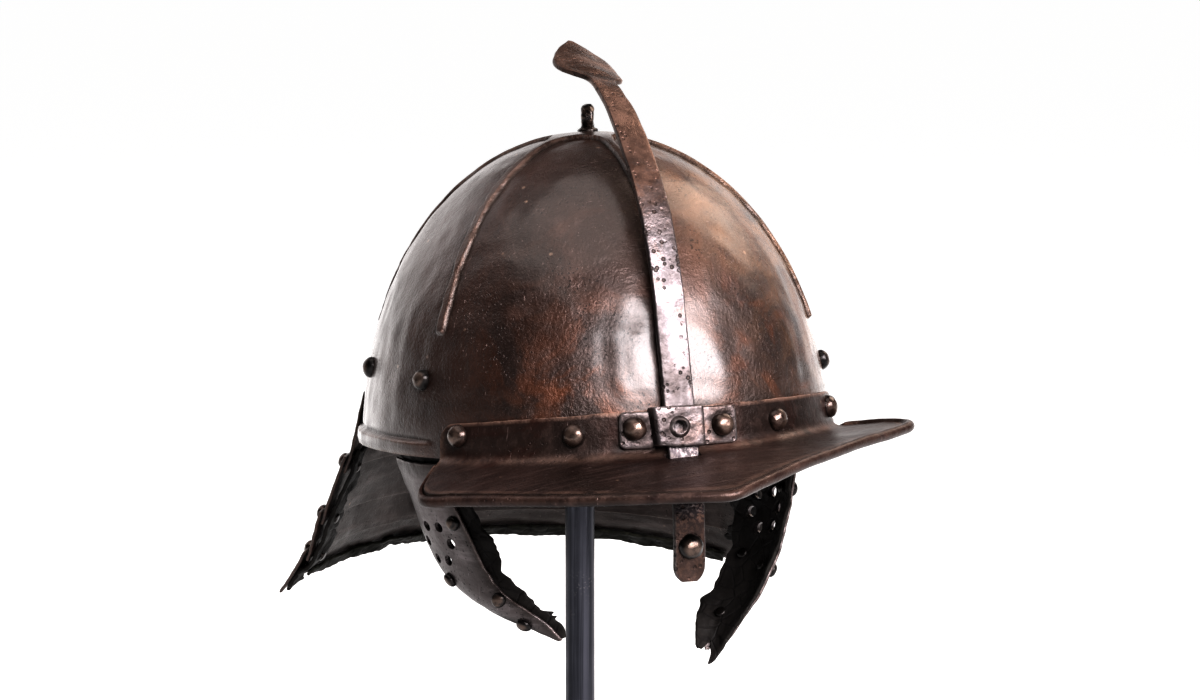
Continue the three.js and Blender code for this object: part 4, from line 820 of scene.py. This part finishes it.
# -------------------------------------------------------------------- bracket
def bracket():
    low, high = 5.6, 20.4
    path = np.array([(-23.0, 1.32), (-10.6, 1.32), (-9.6, 6.6), (7.3, 6.6), (8.2, 1.32), (24.2, 1.32)])
    s = np.concatenate([[0], np.cumsum(np.linalg.norm(np.diff(path, axis=0), axis=1))])
    su = steps(150, s[-1], 1.0)
    d = np.stack([np.interp(su * s[-1], s, path[:, i]) for i in (0, 1)], -1)
    even = np.linspace(0, 1, 400)
    de = smooth_rows(np.stack([np.interp(even * s[-1], s, path[:, i]) for i in (0, 1)], -1), 3.0)
    d = np.stack([np.interp(su, even, de[:, i]) for i in (0, 1)], -1)
    sv = steps(40, high - low, 1.0)
    U, V = np.meshgrid(su, sv, indexing="ij")
    tipd = np.minimum(su, 1 - su) * s[-1]
    corner = np.where(tipd < 2.2, 2.2 - np.sqrt(np.maximum(0, 2.2**2 - (2.2 - tipd) ** 2)), 0)[:, None]
    ear = np.maximum(sm(-d[:, 0], 10.6, 11.4), sm(d[:, 0], 8.4, 9.2))[:, None]
    right_ear = ear * (d[:, 0] < 0)[:, None]
    # the ears sit a little crooked and the block widens upwards
    block = 1 - ear
    lo = low + corner - 0.4 * right_ear + 0.5 * block * sm(-d[:, :1], 3, 8)
    hi = high - corner - 1.0 * right_ear + 0.5 * block
    Z = lo + (hi - lo) * V + 0.25 * np.where(V > 0.5, 1, -1) * (0.5 * ragged(U * s[-1], 71)) * (np.abs(V - 0.5) * 2) ** 4
    skew = block * (V - 0.5) * -1.6 * np.clip(-d[:, :1] / 8, 0, 1)
    l = BAR_L + d[:, :1] + skew + 0 * V
    mid = sk_point(flange_angle(l), Z, FL_OUT + d[:, 1:] + 0 * V)
    dist = edge_distance(U, V, s[-1], high - low)
    rough = 0.07 * waves(mid, 9, 72) + 0.04 * waves(mid, 3.5, 73)
    v, faces = pillow(mid, dist, 0.98, rough)
    n = dist.size
    edge = np.exp(-((dist / 0.8) ** 2)) * 0.95
    # painted shade: bracket_shade_and_dirt darkens the riser walls beside the raised block, and rings in the creases at
    # the rivets' feet and round the hole
    riser = np.exp(-(((d[:, :1] + 10.3) / 0.8) ** 2)) + np.exp(-(((d[:, :1] - 7.9) / 0.8) ** 2)) + 0 * V
    ringd = np.hypot(np.abs(d[:, :1]) - 17.4, Z - 13.0)
    bracket_shade_and_dirt = 0.9 * np.exp(-(((ringd - 4.9) / 1.1) ** 2)) * ear + 0.5 * np.exp(-(((np.hypot(d[:, :1] + 1.6, Z - 13) - 4.9) / 0.6) ** 2)) * block + riser
    back = np.ones(n)
    o = piece("nasal_bracket_forged", v, faces, STEEL_LOOK, ["nasal_bracket"], attrs={
        "wear": np.concatenate([edge.ravel(), edge.ravel()]), "dirt_and_shade": np.clip(np.concatenate([bracket_shade_and_dirt.ravel(), bracket_shade_and_dirt.ravel()]), 0, 1),
        "patina": np.concatenate([(0.1 + 0.08 * ear + 0 * V).ravel(), 0.6 * back]), "spots": np.full(2 * n, 0.25)}, sharp=60)
    a = flange_angle(BAR_L - 1.6)
    c, nrm = sk_point(a, 13.0, FL_OUT + 7.6), sk_normal(a, 13.0)
    tool, tf = lathe([(0, -3.4), (2.45, -3.4), (2.45, 4), (0, 4)], 24)
    cut(o, [(along(tool, c, nrm), tf)])
    # burr thrown up round the hole, torn on one side
    k = 44
    t = np.arange(k) * 2 * np.pi / k
    height = 1.0 + 0.45 * np.cos(t - 0.6) + 0.25 * ragged(t * 6, 74)
    rings = []
    for r0, hh in ((2.5, -1.2), (2.5, 0.35), (2.62, 0.85), (2.95, 1.0), (3.3, 0.75), (3.7, 0.35), (4.3, 0.0), (4.3, -0.3), (3.4, -1.2)):
        rr = r0 + 0.16 * (r0 > 2.6) * ragged(t * 5 + r0, 75)
        rings.append(np.stack([rr * np.cos(t), rr * np.sin(t), np.where(hh > 0, hh * height, hh)], -1))
    rings = np.stack(rings)
    v2 = rings.reshape(-1, 3)
    f2 = grid_faces(len(rings), k, wrap=True)
    last = (len(rings) - 1) * k
    f2 += [[last + i, last + (i + 1) % k, (i + 1) % k, i] for i in range(k)]
    hgt = np.repeat(np.array([0, 0.3, 0.8, 1, 0.6, 0.2, 0, 0, 0]), k)
    # burr_shade: painted shade inside the hole and at the burr's foot
    burr_shade = np.repeat(np.array([1, 0.9, 0.2, 0, 0, 0.5, 0.9, 1, 1]), k)
    piece("nasal_bracket_burr", along(v2, c, nrm), f2, STEEL_LOOK, [], attrs={"wear": hgt, "dirt_and_shade": burr_shade, "patina": np.full(len(v2), 0.15), "spots": np.full(len(v2), 0.3)}, sharp=50)


bracket()


# ----------------------------------------------------------------- crown loop
def crown_loop():
    top = HEIGHT - SUNK + RIB_UP
    cz = top + GAP + 0.9 + 3.4 + 2.6 - 1.0
    u, w = np.arange(40) * 2 * np.pi / 40, np.arange(26) * 2 * np.pi / 26
    U, W = np.meshgrid(u, w, indexing="ij")
    rr = 3.4 + 2.25 * np.cos(W)
    p = np.stack([2.75 * np.sin(W), rr * np.cos(U), rr * np.sin(U) * 0.98], -1)
    p = p * (1 + 0.025 * waves(p, 3.2, 81) + 0.015 * waves(p, 1.5, 82))[..., None]
    ca, sa = math.cos(rad(-17)), math.sin(rad(-17))
    p = np.stack([p[..., 0] * ca - p[..., 1] * sa, p[..., 0] * sa + p[..., 1] * ca, p[..., 2]], -1)
    p = p + np.array([0, 0, cz])
    faces = []
    n = len(w)
    for i in range(40):
        for j in range(n):
            faces.append([i * n + j, i * n + (j + 1) % n, ((i + 1) % 40) * n + (j + 1) % n, ((i + 1) % 40) * n + j])
    v = p.reshape(-1, 3)
    base = len(v)
    low = top - RIB_UP - WALL - 0.9
    prof = [(0, low - 1.2), (2.4, low - 1.1), (3.4, low - 0.6), (3.4, low), (2, low + 0.1), (2, top - 0.4), (4.3, top - 0.3), (4.5, top + 0.4), (4.1, top + 1.0), (3.2, top + 1.5), (2.7, top + 2.4), (0, top + 2.6)]
    v2, f2 = lathe(prof, 30)
    v2 = v2 + np.where(v2[:, 2:] > top, unit(v2 * [1, 1, 0]) * (0.15 * waves(v2, 3, 83))[:, None], 0)
    faces += [[i + base for i in f] for f in f2]
    V = np.concatenate([v, v2])
    wear = np.concatenate([np.clip(0.5 + 0.5 * waves(v, 2.2, 84), 0, 1) * 0.5, np.full(len(v2), 0.15)])
    # painted shade: the collar is darker low down, where it meets the skull
    dirt_and_shade = np.concatenate([np.zeros(len(v)), np.where(v2[:, 2] < top + 0.5, 0.6, 0.2)])
    piece("crown_loop_forged", V, faces, BLACK_LOOK, ["crown_loop"], attrs={"wear": wear, "dirt_and_shade": dirt_and_shade, "warm": 0 * wear}, sharp=60)


crown_loop()

# ----------------------------------------------------------------------- tail
TAIL = np.array([  # middle radius, middle z, end radius, end z, end angle
    (111.5, 19.7, 102.5, 19.7, 61.8), (119.5, -7.5, 112.2, -9.9, 62.2), (132, -29.5, 126.2, -36.4, 59.4),
    (141, -45, 136, -56.4, 56.6), (148.5, -53.4, 144.3, -68.6, 54.6), (157, -60.4, 153, -78, 52.6)])
T_THICK, T_TUCK, T_LAP, T_ROLL = 1.4, 2.7, 0.25, 0.037


def tail_row(s):
    s = np.asarray(s, float)
    k = np.clip(np.floor(s).astype(int), 0, 4)
    return TAIL[k] + (TAIL[k + 1] - TAIL[k]) * (s - k)[..., None]


def tail_face(s, deg):
    r = tail_row(s)
    q = (deg / r[..., 4]) ** 2
    radius, z = mix(r[..., 0], r[..., 2], q), mix(r[..., 1], r[..., 3], q)
    l, f = np.sin(np.radians(deg)) * radius, -np.cos(np.radians(deg)) * radius
    return at(l, f, z - T_ROLL * l * np.minimum(np.asarray(s) / 4, 1))


def tail_normal(s, deg):
    s, deg = np.asarray(s, float), np.asarray(deg, float)
    down = tail_face(np.minimum(s + 0.02, 5.2), deg) - tail_face(np.maximum(s - 0.02, 0), deg)
    around = tail_face(s, deg + 0.5) - tail_face(s, deg - 0.5)
    n = unit(np.cross(around, down))
    p = tail_face(s, deg) * np.array([1, 1, 0])
    return np.where((n * p).sum(-1, keepdims=True) < 0, -n, n)


def tail_point(s, deg, off):
    return tail_face(s, deg) + tail_normal(s, deg) * np.asarray(off, float)[..., None]


def lame(i, s0, s1):
    last = i == 4
    rows, cols = 26, 150
    lu = float(np.linalg.norm(tail_face(s1, 0.0) - tail_face(s0, 0.0)))
    lv = 2 * rad(60) * 125
    U, V = np.meshgrid(steps(rows, lu, 0.7), steps(cols, lv, 0.7), indexing="ij")
    S = mix(s0, s1, U)
    turn = (-1 + 2 * V)
    ends = tail_row(S)[..., 4]
    # the end corners are left square: S is unchanged
    S = S + 0.0 * turn
    deg = turn * ends
    off = (0 if last else -T_TUCK) * U - T_THICK / 2
    mid = tail_point(S, deg, off + 0 * S)
    mid = mid + tail_normal(S, deg) * (0.22 * waves(mid, 26, 90 + i) * np.minimum(edge_distance(U, V, lu, lv) / 6, 1))[..., None]
    dist = edge_distance(U, V, lu, lv)
    v, faces = pillow(mid, dist, T_THICK / 2, 0.08 * waves(mid, 7, 95))
    n = dist.size
    edge = np.exp(-((dist / 0.9) ** 2)) * 0.25
    # painted shade: the inner face is darkened in its middle and along its top and bottom edges; separately, the outer
    # face is darker just below the top edge of each lower lame
    lapped = np.exp(-(((1 - U) * lu / 3.5) ** 2)) * 0.0 + (0.6 * np.exp(-((U * lu / 2.0) ** 2)) if i > 1 else 0 * U)
    middle = 1 - sm(np.abs(turn), 0.62, 0.86)
    g = np.concatenate([(lapped).ravel(), (1.0 * middle + 0.5 * np.exp(-((U * lu / 3.0) ** 2)) + 0.3 * np.exp(-(((1 - U) * lu / 4.0) ** 2))).ravel()])
    piece(f"tail_lame_{i}_plate", v, faces, PLATE_LOOK, [f"tail_lame_{i}"], attrs={
        "wear": np.concatenate([edge.ravel(), edge.ravel()]), "dirt_and_shade": np.clip(g, 0, 1), "warm": np.full(2 * n, 0.35)}, sharp=60)


for i, (s0, s1) in enumerate([(0, 1 + T_LAP), (1, 2 + T_LAP), (2, 3 + T_LAP), (3, 5)], 1):
    lame(i, s0, s1)

for i, (node, deg) in enumerate([("tail_rivet_right", -40.0), ("tail_rivet_back", 0.0), ("tail_rivet_left", 40.0)]):
    n = tail_normal(0.2, deg)
    rivet(node + "_dome", tail_point(0.2, deg, -T_TUCK * 0.2 / 1.25) + 0.2 * n, n, grip=T_THICK + 3.6 + WALL + 0.9, seed=140 + i, node=node, **BIG)
for side in (-1, 1):
    for k in (1, 2, 3):
        s = k + T_LAP / 2
        deg = side * (float(tail_row(s)[4]) - 4.5)
        node = f"lame_rivet_{'right' if side < 0 else 'left'}_{k}"
        rivet(node + "_dome", tail_point(s, deg, -T_TUCK * (T_LAP / 2) / (1 + T_LAP)), tail_normal(s, deg), grip=4.9 + 1.8, seed=150 + 3 * side + k, node=node, **LAMER)


def tail_leather(side):
    lu, lv = 118.0, 17.0
    U, V = np.meshgrid(steps(130, lu, 0.9), steps(26, lv, 0.9), indexing="ij")
    S = mix(0.86, 4.8, U) + 0.05 * ragged(V * lv, 201 + side) * (U - 0.5)
    near = 0.5 + 0.35 * ragged(U * lu, 203 + side)
    far = 8.6 + 1.5 * ragged(U * lu, 205 + side) - 2.4 * sm(U, 0.72, 1.0)
    deg = side * (tail_row(S)[..., 4] - mix(near, far, V))
    mid = tail_point(S, deg, -0.9 - mix(4.9, 1.9, sm(S, 3.3, 4.0)))
    curl = 0.35 * waves(mid, 15, 207 + side) + 0.9 * np.maximum(ragged(U * lu, 209 + side), 0) * sm(V, 0.55, 1)
    mid = mid - tail_normal(S, deg) * np.maximum(curl, -0.3)[..., None]
    dist = edge_distance(U, V, lu, lv)
    v, faces = pillow(mid, dist, 0.9, 0.12 * waves(mid, 5, 211))
    wear = np.exp(-((dist / 1.2) ** 2)) * 0.5
    hand = "right" if side < 0 else "left"
    piece(f"tail_leather_{hand}_torn", v, faces, LEATHER_LOOK, [f"tail_leather_{hand}"], attrs={"wear": np.concatenate([wear.ravel()] * 2)}, sharp=60)


tail_leather(-1)
tail_leather(1)


def edge_leather():
    lu, lv = 12.0, 235.0
    U, V = np.meshgrid(steps(16, lu, 0.8), steps(240, lv, 0.8), indexing="ij")
    x = V * lv
    s0 = 4.45 + 0.05 * ragged(x, 221)
    s1 = 5.08 + 0.075 * ragged(x, 222) - 0.12 * np.maximum(ragged(x, 223) - 0.5, 0)
    S = mix(s0, s1, U)
    deg = (-1 + 2 * V) * (tail_row(np.minimum(S, 5.0))[..., 4] - 10)
    mid = tail_point(S, deg, -1.8 - 0.8 + 0 * S)
    mid = mid - tail_normal(S, deg) * (0.25 + 0.25 * waves(mid, 11, 224))[..., None]
    dist = edge_distance(U, V, lu, lv)
    v, faces = pillow(mid, dist, 0.8, 0.12 * waves(mid, 4, 225))
    wear = np.exp(-((dist / 1.4) ** 2)) * 0.9
    piece("tail_edge_leather_torn", v, faces, EDGE_LEATHER_LOOK, ["tail_edge_leather"], attrs={"wear": np.concatenate([wear.ravel()] * 2)}, sharp=60)


edge_leather()

# --------------------------------------------------------------------- cheeks
CHEEK = {  # rear edge l f z, front edge l f z, a row for each section
    "right": np.array([(-92.0, 10, -3, -79.5, 48, -3), (-86.6, 13, -23, -74, 51.5, -21.7), (-81.6, 16.5, -39, -66.8, 54.3, -37.5), (-76.8, 23, -51, -61.2, 55.8, -50.5),
                       (-70.4, 33.5, -59.6, -54.4, 60, -58.8), (-60.6, 48, -66.8, -48, 63.6, -64.8), (-49.5, 58.5, -72.8, -42.6, 66, -70.2), (-40.2, 65.4, -77.4, -38.6, 66.8, -76.6)], float),
    "left": np.array([(70.0, 12, -5, 80, 43, -3), (66.4, 12.6, -22, 76, 45, -18.5), (64.0, 12.4, -38.5, 73.6, 45.4, -31), (59.5, 14.2, -53.6, 70.3, 45.7, -41.8),
                      (53.4, 18, -64.1, 65.6, 45.8, -54.6), (45.0, 23, -73.8, 58.4, 45.8, -67.9), (36.8, 29.8, -81.8, 49.3, 43.9, -81.4), (31.9, 36.2, -90.8, 40.5, 40.1, -93.1)], float),
}
HANGER = [  # z, rear plan, front plan, rear in, front in (the left one is swung in)
    (40, 103, 58, 0, 0), (25, 101, 57, 0, 0), (10, 92, 57, 12, 3)]
CH_THICK, CH_CUP, L_THICK, L_GAP = 1.5, 5.0, 1.6, 0.6


def cheek_control(hand, cs, off):
    """Grid of points of a cheek's outer face moved by off: a row for each section, a column for each c."""
    rows = CHEEK[hand]
    side = -1 if hand == "right" else 1
    rear, front = at(rows[:, 0], rows[:, 1], rows[:, 2]), at(rows[:, 3], rows[:, 4], rows[:, 5])
    width = np.linalg.norm(front - rear, axis=1)
    down = unit(np.gradient(rear, axis=0) + np.gradient(front, axis=0))
    out = unit(np.cross(down, front - rear)) * -side
    c = np.asarray(cs)[None, :, None]
    p = rear[:, None] + (front - rear)[:, None] * c
    cup = np.minimum(CH_CUP, width * 0.16)[:, None, None] * 4 * c * (1 - c)
    return p + out[:, None] * (cup + off)


def cheek_at(hand, t, c):
    g = cheek_control(hand, np.linspace(0, 1, 9), 0.0)
    u, v = np.array([[t]], float), np.array([[c]], float)
    p = net(g, u, v)[0, 0]
    a = (net(g, u, v + 0.02) - net(g, u, v - 0.02))[0, 0]
    b = (net(g, np.minimum(u + 0.02, 1), v) - net(g, np.maximum(u - 0.02, 0), v))[0, 0]
    n = unit(np.cross(a, b))
    side = -1 if hand == "right" else 1
    ref = cheek_control(hand, [0.5], 1.0)[int(round(t * 7)), 0] - cheek_control(hand, [0.5], 0.0)[int(round(t * 7)), 0]
    return p, (n if n @ ref > 0 else -n)


def cheek(hand):
    side = -1 if hand == "right" else 1
    lu, lv = 105.0, 34.0
    U, V = np.meshgrid(steps(96, lu, 0.75), steps(40, lv, 0.75), indexing="ij")
    grid = cheek_control(hand, np.linspace(0, 1, 9), -CH_THICK / 2)
    x = U * lu
    c0, c1 = 0.06 + 0.012 * ragged(x, 301 + side), 0.88 + 0.012 * ragged(x, 303 + side)
    T = U * (1 - 0.0 * V)
    if hand == "left":  # the tip is broken off
        T = U * (1 - 0.035 * np.abs(ragged(V * 26, 305)) * sm(U, 0.8, 1))
    mid = net(grid, T, mix(c0, c1, V))
    mid = mid + grid_normals(mid) * (0.25 * waves(mid, 22, 307 + side))[..., None]
    wlocal = np.maximum(np.linalg.norm(mid[:, -1] - mid[:, 0], axis=1), 1.5)[:, None]
    dist = np.minimum(np.minimum(U, 1 - U) * lu, np.minimum(V, 1 - V) * wlocal)
    v, faces = pillow(mid, dist, CH_THICK / 2, 0.06 * waves(mid, 6, 309))
    n = dist.size
    edge = np.exp(-((dist / 0.9) ** 2)) * 0.18
    # the plate is darkened in a band along its edges (dirt_and_shade), around the painted sheen of CHEEK_LOOK
    o = piece(f"cheek_{hand}_plate", v, faces, CHEEK_LOOK, [f"cheek_{hand}"], attrs={
        "wear": np.concatenate([edge.ravel()] * 2), "dirt_and_shade": np.concatenate([(0.85 * np.exp(-((dist / 4.2) ** 2)) * sm(dist, 0.3, 1.0)).ravel()] * 2), "warm": np.full(2 * n, 0.15)}, sharp=60)
    p, nrm = cheek_at(hand, 0.27, 0.38)
    u = unit(cheek_at(hand, 0.27, 1.0)[0] - cheek_at(hand, 0.27, 0.0)[0])
    w = unit(np.cross(nrm, u))
    tools = []
    for k in range(6):
        a = 2 * np.pi * k / 6
        hv, hf = lathe([(0, -9), (2.3, -9), (2.3, 9), (0, 9)], 18)
        tools.append((along(hv, p + 8.6 * (math.cos(a) * u + math.sin(a) * w), nrm), hf))
    cut(o, tools)
    # lining with the hanger above it
    cs = np.linspace(-0.02, 1.0, 9)
    deep = CH_THICK + L_GAP + L_THICK / 2
    low = cheek_control(hand, cs, -deep)
    top = []
    for z, rp, fp, ri, fi in HANGER:
        k = np.linspace(0, 1, 9)
        a = np.array([plan_angle(side * (rp + (fp - rp) * x)) for x in k])
        inward = (ri + (fi - ri) * k) if hand == "left" else 0 * k
        top.append(sk_point(a, np.full(9, float(z)), -WALL - 0.9 - L_THICK / 2 - inward))
    ctrl = np.concatenate([np.array(top), low])
    lu, lv = 165.0, 36.0
    U, V = np.meshgrid(steps(190, lu, 0.8), steps(44, lv, 0.8), indexing="ij")
    x = U * lu
    below = sm(U, 0.26, 0.34)
    r0, r1 = ragged(x, 311 + side), ragged(x, 313 + side)
    if hand == "right":
        c0 = 0.0 - below * (0.045 + 0.016 * r0)
        c1 = 1.0 + below * (0.02 + 0.03 * r1 + 0.13 * np.exp(-(((U - 0.83) / 0.016) ** 2)) + 0.12 * np.exp(-(((U - 0.865) / 0.01) ** 2)) + 0.25 * sm(U, 0.86, 0.97))
        T = U - 0.0 * V
    else:
        bump = 0.1 * np.exp(-(((U - 0.8) / 0.02) ** 2)) + 0.05 * sm(U, 0.78, 0.82)
        c0 = 0.0 - below * (0.01 + 0.022 * r0 + bump)
        c1 = 1.0 + below * 0.012 * r1
        tear = 0.012 * np.abs(ragged(V * 26, 315)) + 0.03 * np.exp(-(((V - 0.42) / 0.1) ** 2)) - 0.05 * np.exp(-(((V - 0.86) / 0.16) ** 2))
        T = U * (1 - tear * sm(U, 0.82, 1.0))
    mid = net(ctrl, T, mix(c0, c1, V))
    nrm_g = grid_normals(mid)
    free = sm(U, 0.3, 0.4)
    mid = mid + nrm_g * (0.3 * free * waves(mid, 14, 317 + side))[..., None]
    wl = np.maximum(np.linalg.norm(mid[:, -1] - mid[:, 0], axis=1), 2.0)[:, None]
    dist = np.minimum(np.minimum(U, 1 - U) * lu, np.minimum(V, 1 - V) * wl)
    v, faces = pillow(mid, dist, L_THICK / 2, 0.1 * waves(mid, 4.5, 319))
    wear = np.exp(-((dist / 1.2) ** 2)) * 0.45
    o = piece(f"cheek_lining_{hand}_torn", v, faces, LEATHER_LOOK, [f"cheek_lining_{hand}"], attrs={"wear": np.concatenate([wear.ravel()] * 2)}, sharp=60)
    tools = []
    for k in range(6):
        a = 2 * np.pi * k / 6
        hv, hf = lathe([(0, -9), (3.1, -9), (3.1, 9), (0, 9)], 16)
        tools.append((along(hv, p + 8.6 * (math.cos(a) * u + math.sin(a) * w), nrm), hf))
    cut(o, tools)
    for k, (tag, t, c) in enumerate([("a", 0.19, 0.78), ("b", 0.46, 0.17), ("c", 0.57, 0.74), ("d", 0.8, 0.3)]):
        q, nq = cheek_at(hand, t, c)
        node = f"cheek_rivet_{hand}_{tag}"
        rivet(node + "_dome", q + 0.25 * nq, nq, grip=CH_THICK + L_GAP + L_THICK + 1.3, seed=330 + k + 10 * side, look=BLACK_LOOK, node=node, **CHEEKR)


cheek("right")
cheek("left")


# ---------------------------------------------------------------------- stand
def stand():
    def turned(name, node, profile, sides):
        v, faces = lathe(profile, sides)
        me = bpy.data.meshes.new(name)
        me.from_pydata((v / 1000).tolist(), [], faces)
        finish_piece(name, me, STAND_LOOK, [node], "helmet", 40, weld=False)

    lo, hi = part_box("stand_knob")
    z0, z1 = lo.z * 1000, hi.z * 1000
    dome = [(18 * math.cos(a), z1 - 18 + 18 * math.sin(a)) for a in np.linspace(0, math.pi / 2, 18)[:-1]]
    turned("stand_knob_turned", "stand_knob", [(0, z0), (14.6, z0), (15.6, z0 + 0.3), (17.6, z0 + 2.3), (18, z0 + 3.3), *dome, (0, z1)], 56)
    lo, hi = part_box("stand_pole")
    a, b = lo.z * 1000, hi.z * 1000
    turned("stand_pole_turned", "stand_pole", [(0, a), (6.1, a), (6.5, a + 0.4), *[(6.5, z) for z in np.linspace(a + 6, b - 6, 40)], (6.5, b - 0.4), (6.1, b), (0, b)], 48)
    lo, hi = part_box("stand_base")
    t = hi.z * 1000
    edge = [(84 - 2.5 + 2.5 * math.cos(x), t - 2.5 + 2.5 * math.sin(x)) for x in np.linspace(0, math.pi / 2, 8)]
    collar = [(14, t), (13, t + 0.05)]
    turned("stand_base_turned", "stand_base", [(0, 0), (40, 0), (83.2, 0), (84, 0.8), (84, 4), *edge, (70, t), (40, t), *collar, (0, t)], 96)


stand()

# ---------------------------------------------------------------------- stage
bpy.ops.mesh.primitive_plane_add(size=60, location=(0, 0, 0))
floor = bpy.context.object
floor.name = "floor"
k = Look("floor_paint")
k.b.inputs["Base Color"].default_value = (0.3, 0.3, 0.3, 1)
k.b.inputs["Roughness"].default_value = 0.9
k.b.inputs["Emission Color"].default_value = (1, 1, 1, 1)
k.b.inputs["Emission Strength"].default_value = 0.97
floor.data.materials.append(k.m)
floor.visible_diffuse = False

scene = bpy.context.scene
scene.view_settings.view_transform = "Standard"
scene.view_settings.gamma = 0.76
w = bpy.data.worlds.new("studio")
scene.world = w
w.use_nodes = True
w.node_tree.nodes["Background"].inputs["Color"].default_value = (1.0, 0.94, 0.93, 1)
w.node_tree.nodes["Background"].inputs["Strength"].default_value = 0.07

CENTRE = Vector((0.0, -0.02, 0.25))


def softbox(name, az, el, distance, size, power, colour=(1, 1, 1), aim=CENTRE):
    d = bpy.data.lights.new(name, "AREA")
    d.shape = "RECTANGLE"
    d.size, d.size_y = size
    d.energy, d.color = power, colour
    o = bpy.data.objects.new(name, d)
    scene.collection.objects.link(o)
    a, e = rad(az), rad(el)
    o.location = aim + distance * Vector((math.sin(a) * math.cos(e), -math.cos(a) * math.cos(e), math.sin(e)))
    o.rotation_euler = (o.location - aim).to_track_quat("Z", "Y").to_euler()
    o.visible_camera = False


softbox("key", 15, 26, 1.0, (1.0, 0.5), 50, (1.0, 0.955, 0.975))
softbox("crown", -80, 74, 1.0, (0.9, 0.9), 7, (1.0, 0.92, 0.88))
softbox("right", 110, 43, 1.1, (0.5, 0.7), 6.8, (1.0, 0.83, 0.7))
softbox("left", -142, 33, 1.1, (0.7, 0.6), 1.8, (1.0, 0.93, 0.93))
softbox("back", 170, 2, 0.6, (1.8, 0.56), 4.4, (1.0, 0.96, 0.95), Vector((0.05, 0.0, 0.29)))

cam = bpy.data.cameras.new("camera")
cam.sensor_width, cam.lens = 36, 82.8
cam.clip_start, cam.clip_end = 0.05, 200
co = bpy.data.objects.new("camera", cam)
scene.collection.objects.link(co)
co.location = (-0.38475, -1.13799, 0.37690)
co.rotation_euler = (Vector(co.location) - Vector((0.00448, -0.01424, 0.2109))).to_track_quat("Z", "Y").to_euler()
scene.camera = co
